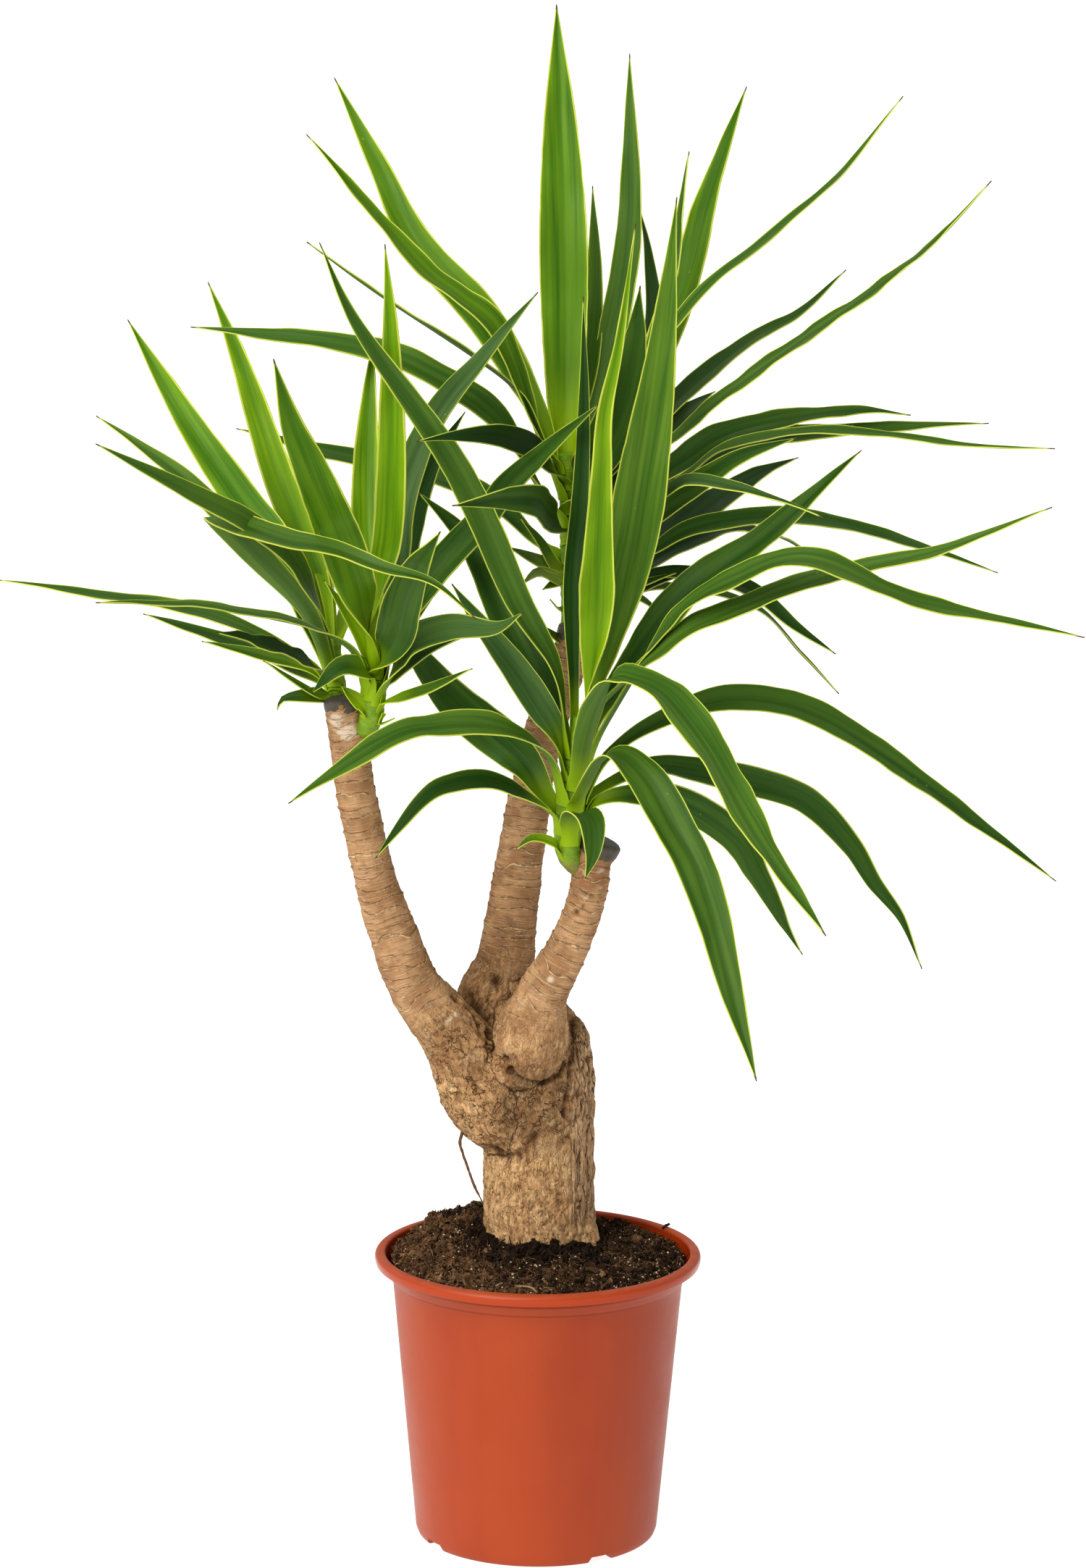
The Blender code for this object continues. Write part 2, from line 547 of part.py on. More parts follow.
def blade_width(share):
    """The blade's width at a share of its length, as a part of its full width."""
    if share < LEAF_WIDEST:
        rise = share / LEAF_WIDEST
        return LEAF_NECK + (1 - LEAF_NECK) * rise * rise * (3 - 2 * rise)
    return 1 - ((share - LEAF_WIDEST) / (1 - LEAF_WIDEST)) ** 1.7


def blade_frames(spine, turn, twist, outward):
    """The side and face directions along the midrib. The face is set at its middle and carried both ways."""
    last = len(spine) - 1
    tangents = [(spine[min(i + 1, last)] - spine[max(i - 1, 0)]).normalized() for i in range(last + 1)]
    middle = last // 2
    inward = Vector((0, 0, 1)) - outward * 0.3
    skyward = (inward - tangents[middle] * inward.dot(tangents[middle])).normalized()
    front = Vector((0, -1, 0))
    face = skyward * math.cos(math.radians(turn)) + front * math.sin(math.radians(turn))
    faces = {middle: (face - tangents[middle] * face.dot(tangents[middle])).normalized()}
    for i in [*range(middle + 1, last + 1), *range(middle - 1, -1, -1)]:
        beside = i - 1 if i > middle else i + 1
        faces[i] = tangents[beside].rotation_difference(tangents[i]) @ faces[beside]
    clasp = -outward - tangents[0] * -outward.dot(tangents[0])
    side = tangents[0].cross(faces[0])
    to_stem = math.atan2(clasp.dot(side), clasp.dot(faces[0]))
    frames = []
    for i, tangent in enumerate(tangents):
        share = i / last
        roll = to_stem * max(0, 1 - share / CLASP) + math.radians(twist) * max(0, share - CLASP)
        turned_face = Matrix.Rotation(roll, 3, tangent) @ faces[i]
        frames.append((turned_face.cross(tangent).normalized(), turned_face))
    return frames


def leaned(start, route, lean):
    """The midrib's points, slid along their lines of sight until the tip is this far behind where it was."""
    points = [Vector(point) for point in route]
    lengths = [(after - before).length for before, after in zip([start, *points], points)]
    moved = []
    for number, point in enumerate(points, 1):
        back = lean * (sum(lengths[:number]) / sum(lengths)) ** LEAN_CURVE
        moved.append(EYE + (point - EYE) * (1 + back / (point.y - EYE.y)))
    return moved


def make_leaf(name, shoot, foot, width, turn, twist, lean, route, parts, material):
    axis = shoot_axis(SHOOTS[shoot], foot)
    route = leaned(axis.xyz, route, lean)
    outward = route[0] - axis.xyz
    outward.z = 0
    outward.normalize()
    stand_off = (GAP + BLADE / 2) / CM
    above = shoot_axis(SHOOTS[shoot], foot + HEEL)
    seat = axis.xyz + outward * (axis.w + stand_off)
    heel = above.xyz + outward * (above.w + 3 * stand_off)
    spine = smooth_route([tuple(seat), tuple(heel), *route], LEAF_STEPS + 1)
    frames = blade_frames(spine, turn, twist, outward)
    shape = bmesh.new()
    bmesh.ops.create_grid(shape, x_segments=2, y_segments=LEAF_STEPS, size=1)
    for vert in shape.verts:
        across, share = vert.co.x, (vert.co.y + 1) / 2
        side, face = frames[round(share * LEAF_STEPS)]
        half = max(width * CM * blade_width(share), TIP_WIDTH) / 2
        channel = face * abs(across) * half * LEAF_CHANNEL
        vert.co = spine[round(share * LEAF_STEPS)] * CM + side * across * half + channel
    mesh = bpy.data.meshes.new(name)
    shape.to_mesh(mesh)
    shape.free()
    leaf = new_object(name, mesh, parts)
    blade = leaf.modifiers.new("Blade", "SOLIDIFY")
    blade.thickness = BLADE
    blade.offset = 0
    return dress(leaf, material, 60)


def main():
    for obj in list(bpy.data.objects):
        bpy.data.objects.remove(obj)
    parts = bpy.data.collections.new("potted_yucca")
    cutters = bpy.data.collections.new("cutters")
    for collection in (parts, cutters):
        bpy.context.scene.collection.children.link(collection)

    terracotta = new_material("pot_plastic", (0.56, 0.10, 0.03), 0.38)
    peat = new_material("peat", (0.045, 0.026, 0.014), 0.95)
    bark = new_material("bark", (0.35, 0.19, 0.09), 0.85)
    wax = new_material("seal_wax", (0.07, 0.065, 0.05), 0.6)
    green = new_material("leaf_green", (0.10, 0.26, 0.02), 0.42)
    pale_green = new_material("stem_green", (0.27, 0.42, 0.03), 0.45)
    root_skin = new_material("root_skin", (0.22, 0.12, 0.06), 0.9)

    make_pot(parts, cutters, terracotta)
    make_soil(parts, grown_limb("stump_cutter", STUMP, cutters), peat)
    make_trunk(parts, bark)
    canes = {"left": LEFT_CANE, "back": BACK_CANE, "front": FRONT_CANE}
    cane_cutters = {side: grown_limb(f"{side}_cane_cutter", cane, cutters) for side, cane in canes.items()}
    for side, cane in canes.items():
        make_seal(f"cut_seal_{side}", cane, parts, wax)
    for shoot, points in SHOOTS.items():
        stem = tube(f"shoot_stem_{shoot}", points, 9, 12, parts)
        boolean(stem, cane_cutters[shoot.split("_")[0]], "DIFFERENCE")
        dress(realise(stem), pale_green)
        for number, leaf in enumerate(LEAVES[shoot], 1):
            make_leaf(f"leaf_{shoot}_{number:02d}", shoot, *leaf, parts, green)
    root = tube("hanging_root", [(*point, ROOT_RADIUS / CM) for point in HANGING_ROOT], 9, 8, parts)
    boolean(root, cane_cutters["left"], "DIFFERENCE")
    dress(realise(root), root_skin)


main()
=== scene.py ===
# Potted yucca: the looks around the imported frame. Metres, +Z up, +X right, +Y back.
# The plant's own routes are in centimetres, as (right, back, up) or (right, back, up, radius).
import math
import random

import bpy
import numpy as np
from mathutils import Matrix, Vector, noise


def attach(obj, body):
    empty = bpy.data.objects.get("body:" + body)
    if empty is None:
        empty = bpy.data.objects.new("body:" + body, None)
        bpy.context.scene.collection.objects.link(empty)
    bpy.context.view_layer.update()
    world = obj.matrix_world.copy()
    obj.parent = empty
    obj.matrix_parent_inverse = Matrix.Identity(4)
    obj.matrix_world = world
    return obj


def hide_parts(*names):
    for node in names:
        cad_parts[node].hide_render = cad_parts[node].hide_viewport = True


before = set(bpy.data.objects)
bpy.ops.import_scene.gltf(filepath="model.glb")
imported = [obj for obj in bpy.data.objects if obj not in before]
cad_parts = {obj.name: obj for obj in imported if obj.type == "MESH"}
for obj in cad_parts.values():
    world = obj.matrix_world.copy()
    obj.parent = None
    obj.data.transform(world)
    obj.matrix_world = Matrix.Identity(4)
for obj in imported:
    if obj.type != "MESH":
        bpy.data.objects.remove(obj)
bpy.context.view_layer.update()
noise.seed_set(4)  # noise vectors would otherwise be others at each run
cm = 0.01


def deselectAll():
    if bpy.context.mode != "OBJECT":
        bpy.ops.object.mode_set(mode="OBJECT")
    bpy.ops.object.select_all(action="DESELECT")


def makeActive(obj):
    deselectAll()
    obj.select_set(True)
    bpy.context.view_layer.objects.active = obj


def applyModifier(obj, kind, **settings):
    makeActive(obj)
    modifier = obj.modifiers.new(kind.title(), kind)
    for key, value in settings.items():
        setattr(modifier, key, value)
    bpy.ops.object.modifier_apply(modifier=modifier.name)


def joinPieces(pieces, name):
    makeActive(pieces[0])
    for piece in pieces:
        piece.select_set(True)
    bpy.ops.object.join()
    pieces[0].name = name
    return pieces[0]


def smoothStep(low, high, value):
    share = min(max((value - low) / (high - low), 0), 1)
    return share * share * (3 - 2 * share)


def finishPiece(obj, name, materials, stands=(), angle=40):
    obj.name = name
    obj.data.name = name
    for material in materials:
        obj.data.materials.append(material)
    makeActive(obj)
    bpy.ops.object.shade_smooth_by_angle(angle=math.radians(angle))
    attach(obj, "root")
    if stands:
        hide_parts(*stands)


def setNumbers(mesh, **columns):
    for name, values in columns.items():
        data = mesh.attributes.new(name, "FLOAT", "POINT").data
        data.foreach_set("value", np.asarray(values, np.float32))


def setColours(mesh, name, colours):
    flat = np.ones((len(colours), 4), np.float32)
    flat[:, :3] = colours
    mesh.attributes.new(name, "FLOAT_COLOR", "POINT").data.foreach_set("color", flat.ravel())


def smoothRoute(points, count):
    # evenly spaced places on a smooth line through these points
    known = [Vector(point) for point in points]
    known = [known[0] * 2 - known[1], *known, known[-1] * 2 - known[-2]]
    fine = []
    for a, b, c, d in zip(known, known[1:], known[2:], known[3:]):
        for step in range(16):
            t = step / 16
            square, cube = (2 * a - 5 * b + 4 * c - d) * t**2, (3 * b - a - 3 * c + d) * t**3
            fine.append(0.5 * (2 * b + (c - a) * t + square + cube))
    fine.append(known[-2])
    walked = [0.0]
    for before, after in zip(fine, fine[1:]):
        walked.append(walked[-1] + (after - before).xyz.length)
    even, index = [], 0
    for step in range(count):
        wanted = walked[-1] * step / (count - 1)
        while index < len(walked) - 2 and walked[index + 1] < wanted:
            index += 1
        share = (wanted - walked[index]) / (walked[index + 1] - walked[index])
        even.append(fine[index].lerp(fine[index + 1], min(share, 1)))
    return even


def limbTube(points, rings, sides, knobs=None):
    # a round limb as a bevelled curve, turned into a mesh; knobs are the size and height of its bumps
    curve = bpy.data.curves.new("limb", "CURVE")
    curve.dimensions = "3D"
    curve.bevel_depth = 1
    curve.bevel_resolution = (sides - 4) // 2
    curve.use_fill_caps = True
    spline = curve.splines.new("POLY")
    spline.points.add(rings - 1)
    for point, (x, y, z, radius) in zip(spline.points, smoothRoute(points, rings)):
        point.co = (x * cm, y * cm, z * cm, 1)
        point.radius = radius * cm
    obj = bpy.data.objects.new("limb", curve)
    bpy.context.collection.objects.link(obj)
    makeActive(obj)
    bpy.ops.object.convert(target="MESH")
    obj = bpy.context.object
    bpy.ops.object.mode_set(mode="EDIT")
    bpy.ops.mesh.select_all(action="SELECT")
    bpy.ops.mesh.remove_doubles(threshold=1e-6)
    bpy.ops.mesh.normals_make_consistent(inside=False)
    bpy.ops.object.mode_set(mode="OBJECT")
    for vertex in obj.data.vertices if knobs else ():
        vertex.co += vertex.normal * noise.noise(vertex.co / knobs[0]) * knobs[1]
    return obj


class Wiring:
    # adds nodes to one tree and links them in a short form
    def __init__(self, tree):
        self.tree = tree

    def put(self, target, value):
        if isinstance(value, bpy.types.NodeSocket):
            self.tree.links.new(value, target)
        elif isinstance(value, tuple) and len(value) == 3 and target.type == "RGBA":
            target.default_value = (*value, 1)
        else:
            target.default_value = value

    def add(self, kind, inputs, output=0, **settings):
        made = self.tree.nodes.new("ShaderNode" + kind)
        for key, value in settings.items():
            setattr(made, key, value)
        for key, value in inputs.items():
            self.put(made.inputs[key], value)
        return made.outputs[output]

    def attribute(self, name, output="Fac"):
        return self.add("Attribute", {}, output, attribute_name=name)

    def place(self):
        return self.add("TexCoord", {}, "Object")

    def maths(self, operation, first, second=0.0):
        return self.add("Math", {0: first, 1: second}, operation=operation)

    def times(self, first, second):
        return self.maths("MULTIPLY", first, second)

    def plus(self, first, second):
        return self.maths("ADD", first, second)

    def less(self, first, second):
        return self.maths("SUBTRACT", first, second)

    def most(self, first, second):
        return self.maths("MAXIMUM", first, second)

    def vectors(self, operation, first, second, output="Vector"):
        return self.add("VectorMath", {0: first, 1: second}, output, operation=operation)

    def blend(self, share, first, second):
        return self.plus(self.times(first, self.less(1.0, share)), self.times(second, share))

    def rise(self, value, low, high, toLow=0.0, toHigh=1.0):
        inputs = {"Value": value, "From Min": low, "From Max": high, "To Min": toLow, "To Max": toHigh}
        return self.add("MapRange", inputs, interpolation_type="SMOOTHSTEP")

    def fall(self, value, low, high, top=1.0):
        return self.rise(value, low, high, top, 0.0)

    def near(self, value, middle, low, high):
        # 1 where the value is close to this middle
        return self.fall(self.maths("ABSOLUTE", self.less(value, middle)), low, high)

    def mix(self, share, first, second, blend="MIX"):
        inputs = {0: share, 6: first, 7: second}
        return self.add("Mix", inputs, 2, data_type="RGBA", blend_type=blend, clamp_factor=True)

    def coat(self, colour, other, *shares):
        # the other colour laid over this one, by the product of the shares
        share = shares[0]
        for more in shares[1:]:
            share = self.times(share, more)
        return self.mix(share, colour, other)

    def stretch(self, vector, scale):
        # three scales go into a mapping node, a single one goes on to the pattern
        if isinstance(scale, tuple):
            return self.add("Mapping", {"Vector": vector, "Scale": scale}), 1.0
        return vector, scale

    def noise(self, vector, scale, detail=3.0, roughness=0.5, distortion=0.0):
        vector, scale = self.stretch(vector, scale)
        inputs = {"Vector": vector, "Scale": scale, "Detail": detail, "Roughness": roughness}
        return self.add("TexNoise", {**inputs, "Distortion": distortion}, "Fac")

    def patches(self, vector, scale, low, high, detail=2.0, roughness=0.5):
        return self.rise(self.noise(vector, scale, detail, roughness), low, high)

    def cells(self, vector, scale, feature="F1", output="Distance"):
        vector, scale = self.stretch(vector, scale)
        return self.add("TexVoronoi", {"Vector": vector, "Scale": scale}, output, feature=feature)

    def group(self, group, **inputs):
        made = self.tree.nodes.new("ShaderNodeGroup")
        made.node_tree = group
        for key, value in inputs.items():
            self.put(made.inputs[key], value)
        return made.outputs[0]

    def blotches(self, vector, scale, contrast):
        return self.group(mottle, Vector=vector, Scale=scale, Contrast=contrast)

    def finish(self, shader, colour, height, distance, strength=1.0):
        bump = self.add("Bump", {"Strength": strength, "Distance": distance, "Height": height})
        self.put(shader.inputs["Base Color"], colour)
        self.put(shader.inputs["Normal"], bump)


def newGroup(name, output, **inputs):
    group = bpy.data.node_groups.new(name, "ShaderNodeTree")
    group.interface.new_socket("Vector", in_out="INPUT", socket_type="NodeSocketVector")
    for socket, value in inputs.items():
        made = group.interface.new_socket(socket, in_out="INPUT", socket_type="NodeSocketFloat")
        made.default_value = value
    group.interface.new_socket(output, in_out="OUTPUT", socket_type="NodeSocketFloat")
    inside, out = group.nodes.new("NodeGroupInput").outputs, group.nodes.new("NodeGroupOutput").inputs
    return group, Wiring(group), inside, out[output]


def newMaterial(name, roughness, **sockets):
    material = bpy.data.materials.new(name)
    material.use_nodes = True
    shader = material.node_tree.nodes["Principled BSDF"]
    wires = Wiring(material.node_tree)
    shader.inputs["Roughness"].default_value = roughness
    for key, value in sockets.items():
        wires.put(shader.inputs[key.replace("_", " ")], value)
    return material, shader, wires


def makeMottle():
    # two sizes of soft blotches, as a mask
    group, wires, inside, out = newGroup("mottle", "Mask", Scale=20.0, Contrast=0.2)
    broad = wires.noise(inside["Vector"], inside["Scale"], 4, 0.6, 0.3)
    fine = wires.noise(inside["Vector"], wires.times(inside["Scale"], 5.3), 2, 0.5)
    both = wires.plus(wires.times(broad, 0.7), wires.times(fine, 0.3))
    low, high = wires.less(0.5, inside["Contrast"]), wires.plus(0.5, inside["Contrast"])
    wires.put(out, wires.rise(both, low, high))
    return group


def makeRelief():
    # fine grain for a bump's height: small lumps with pits
    group, wires, inside, out = newGroup("relief", "Height", Scale=200.0, Pits=0.3)
    lumps = wires.noise(inside["Vector"], inside["Scale"], 5, 0.65)
    pits = wires.cells(inside["Vector"], wires.times(inside["Scale"], 1.7))
    wires.put(out, wires.less(lumps, wires.times(wires.fall(pits, 0.0, 0.25), inside["Pits"])))
    return group


mottle = makeMottle()
relief = makeRelief()


camera = dict(place=(0.0017, -3.5, 1.2234), pitch=10.687, roll=0.35, lens=113.1)
studio = dict(
    floor=(0.32, 0.32, 0.32), floorGlow=0.72, sky=0.62, aim=(0, 0, 0.55),
    key=1.72, keySpread=55, keyFrom=(-1.3, -1.7, 2.2), keyColour=(1, 0.985, 0.955),
    soft=22, softPlace=(-1.9, -2.6, 2.6), softSize=(1.0, 1.6),
)


def makeCamera():
    data = bpy.data.cameras.new("camera")
    data.lens = camera["lens"]
    data.clip_end = 60
    obj = bpy.data.objects.new("camera", data)
    bpy.context.collection.objects.link(obj)
    tilt = Matrix.Rotation(math.radians(90 - camera["pitch"]), 4, "X")
    roll = Matrix.Rotation(math.radians(camera["roll"]), 4, "Z")
    obj.matrix_world = Matrix.Translation(camera["place"]) @ tilt @ roll
    bpy.context.scene.camera = obj


def addLight(name, kind, place, energy, **settings):
    data = bpy.data.lights.new(name, kind)
    data.energy = energy
    for key, value in settings.items():
        setattr(data, key, value)
    obj = bpy.data.objects.new(name, data)
    bpy.context.collection.objects.link(obj)
    obj.location = place
    obj.rotation_euler = (Vector(studio["aim"]) - Vector(place)).to_track_quat("-Z", "Y").to_euler()


def makeStudio():
    s = studio
    wide, tall = s["softSize"]
    spread = math.radians(s["keySpread"])
    addLight("keyLight", "SUN", s["keyFrom"], s["key"], angle=spread, color=s["keyColour"])
    addLight("softBox", "AREA", s["softPlace"], s["soft"], shape="RECTANGLE", size=wide, size_y=tall)
    world = bpy.data.worlds.new("studio")
    bpy.context.scene.world = world
    world.use_nodes = True
    wires = Wiring(world.node_tree)
    back = world.node_tree.nodes["Background"]
    seen = wires.add("LightPath", {}, "Is Camera Ray")
    level = wires.add("MapRange", {"Value": seen, "To Min": s["sky"], "To Max": 1.0})
    wires.put(back.inputs["Strength"], level)
    wires.put(back.inputs["Color"], (1, 1, 1))
    deselectAll()
    bpy.ops.mesh.primitive_circle_add(vertices=96, radius=25, fill_type="NGON")
    floor = bpy.context.object
    floor.name = "floor"
    glow = dict(Emission_Color=(1, 1, 1), Emission_Strength=s["floorGlow"])
    floor.data.materials.append(newMaterial("studioFloor", 0.9, Base_Color=s["floor"], **glow)[0])
    bpy.context.scene.view_settings.view_transform = "Standard"
    bpy.context.scene.view_settings.look = "Medium High Contrast"


makeCamera()
makeStudio()
print("studio ready")


leafFinish = dict(
    margin=(0.53, 0.57, 0.09), marginUnder=(0.36, 0.45, 0.07), marginWidth=0.00088, halo=(0.26, 0.40, 0.012),
    base=(0.32, 0.475, 0.004), tip=(0.10, 0.055, 0.02), fleck=(0.42, 0.50, 0.18), roughness=0.42, dusty=0.14,
    deep=(0.50, 0.66, 0.66), light=(1.45, 1.26, 1.6),
    deepUnder=(0.74, 0.82, 0.9), lightUnder=(1.25, 1.18, 1.2),
)


def bladeMaterial(name, under):
    f = leafFinish
    deep, light, edging = (f[key + ("Under" if under else "")] for key in ("deep", "light", "margin"))
    roughness = f["roughness"] + (0.16 if under else 0)
    material, shader, wires = newMaterial(name, roughness, Specular_IOR_Level=0.17)
    tint = wires.attribute("bladeUnder" if under else "bladeTint", "Color")
    keys = ("Side", "Edge", "Along", "Share", "Fresh", "Seed")
    side, edge, along, share, fresh, seed = (wires.attribute("blade" + key) for key in keys)
    lay = wires.add("CombineXYZ", {"X": side, "Y": along, "Z": seed})
    veins = wires.noise(lay, (1100, 9, 40), 3, 0.6)
    bands = wires.noise(lay, (150, 4.5, 17), 3, 0.6)
    patches = wires.noise(lay, (26, 11, 9), 3, 0.55)
    deep, light = wires.mix(1.0, tint, deep, "MULTIPLY"), wires.mix(1.0, tint, light, "MULTIPLY")
    colour = wires.mix(wires.rise(bands, 0.34, 0.66), deep, light)
    colour = wires.coat(colour, light, wires.rise(veins, 0.35, 0.72), 0.42)
    colour = wires.coat(colour, deep, wires.rise(patches, 0.45, 0.75), 0.3)
    colour = wires.coat(colour, deep, wires.fall(wires.maths("ABSOLUTE", side), 0.0, 0.0035, 0.35))  # midrib
    # the pale margin is ragged, and wider on a fresher leaf
    ragged, slow = wires.noise(lay, (0, 60, 30), 3, 0.6), wires.noise(lay, (0, 7, 12), 1, 0.5)
    reach = wires.times(wires.plus(0.55, wires.plus(wires.times(ragged, 0.25), slow)), f["marginWidth"])
    reach = wires.times(reach, wires.plus(0.45, fresh))
    margin = wires.fall(edge, wires.times(reach, 0.62), reach)
    halo = wires.fall(edge, reach, wires.times(reach, 3.6))
    colour = wires.coat(colour, f["halo"], halo, wires.times(fresh, 0.3))
    colour = wires.coat(colour, edging, margin, 0.92)
    young = wires.times(wires.fall(along, 0.012, 0.085, 0.9), wires.rise(fresh, 0.15, 0.7))
    colour = wires.coat(colour, f["base"], wires.most(wires.fall(along, 0.006, 0.050, 0.82), young))
    flecks = wires.cells(lay, (150, 90, 60))
    rare = wires.patches(lay, (20, 14, 30), 0.58, 0.66)
    colour = wires.coat(colour, f["fleck"], wires.fall(flecks, 0.05, 0.09, 0.55), rare)
    colour = wires.coat(colour, f["tip"], wires.rise(share, 0.982, 0.993))
    if not under:
        dusty = wires.rise(patches, 0.4, 0.7, f["roughness"], f["roughness"] + f["dusty"])
        wires.put(shader.inputs["Roughness"], dusty)
    ridges = wires.plus(wires.times(veins, 0.6), wires.times(bands, 0.8))
    wires.finish(shader, colour, wires.plus(ridges, wires.times(margin, 0.35)), 0.0006, 0.32)
    return material


leafFace = bladeMaterial("leafFace", False)
leafBack = bladeMaterial("leafBack", True)


# the middle of each green shoot, as (right, back, up, radius)
shootStems = {
    "left_rear": [
        (-13.9, 0.6, 57.6, 0.6), (-14.5, 2.0, 59, 0.72), (-14.7, 2.5, 61.2, 0.8), (-15.1, 2.4, 66.6, 0.3),
    ],
    "left_front": [
        (-13.0, -0.5, 60.2, 0.62), (-12.3, -1.3, 61, 0.8), (-12.1, -1.6, 62.8, 0.82),
        (-11.9, -1.7, 67.4, 0.3),
    ],
    "back": [(1.6, 6.4, 62.2, 0.6), (2.2, 8.2, 64, 0.8), (2.3, 8.6, 66.4, 0.85), (1.8, 7.2, 79.4, 0.6)],
    "front": [
        (3.2, -3.2, 50.3, 0.6), (2.2, -3.5, 51.5, 0.78), (1.95, -3.7, 52.8, 0.95), (2.2, -3.8, 55.4, 1.0),
        (2.9, -4, 61.9, 0.6),
    ],
}

leafShape = dict(
    across=12, step=0.45, neck=0.46, widest=0.4, taper=1.8, channel=0.26, clasp=0.3, heel=0.7, thickness=0.09,
    wave=0.168, nibble=0.022, standOff=0.09, sheath=0.6, threadLength=0.8, threadWidth=0.07, thin=0.75,
    eye=Vector((0, -350, 122)), leanCurve=1.3,
)

# main colour of a leaf's upper face, its underside, and how fresh it is
leafTones = {
    "bright": ((0.135, 0.270, 0.002), (0.18, 0.30, 0.018), 1.0),
    "fresh": ((0.080, 0.184, 0.004), (0.12, 0.22, 0.020), 0.6),
    "sheen": ((0.084, 0.177, 0.012), (0.12, 0.20, 0.040), 0.4),
    "mid": ((0.062, 0.137, 0.013), (0.095, 0.173, 0.030), 0.3),
    "deep": ((0.040, 0.101, 0.008), (0.068, 0.134, 0.026), 0.15),
    "grey": ((0.062, 0.128, 0.024), (0.095, 0.165, 0.042), 0.1),
    "dark": ((0.017, 0.058, 0.004), (0.038, 0.088, 0.013), 0.1),
    "pale": ((0.13, 0.19, 0.04), (0.15, 0.21, 0.06), 0.2),
}

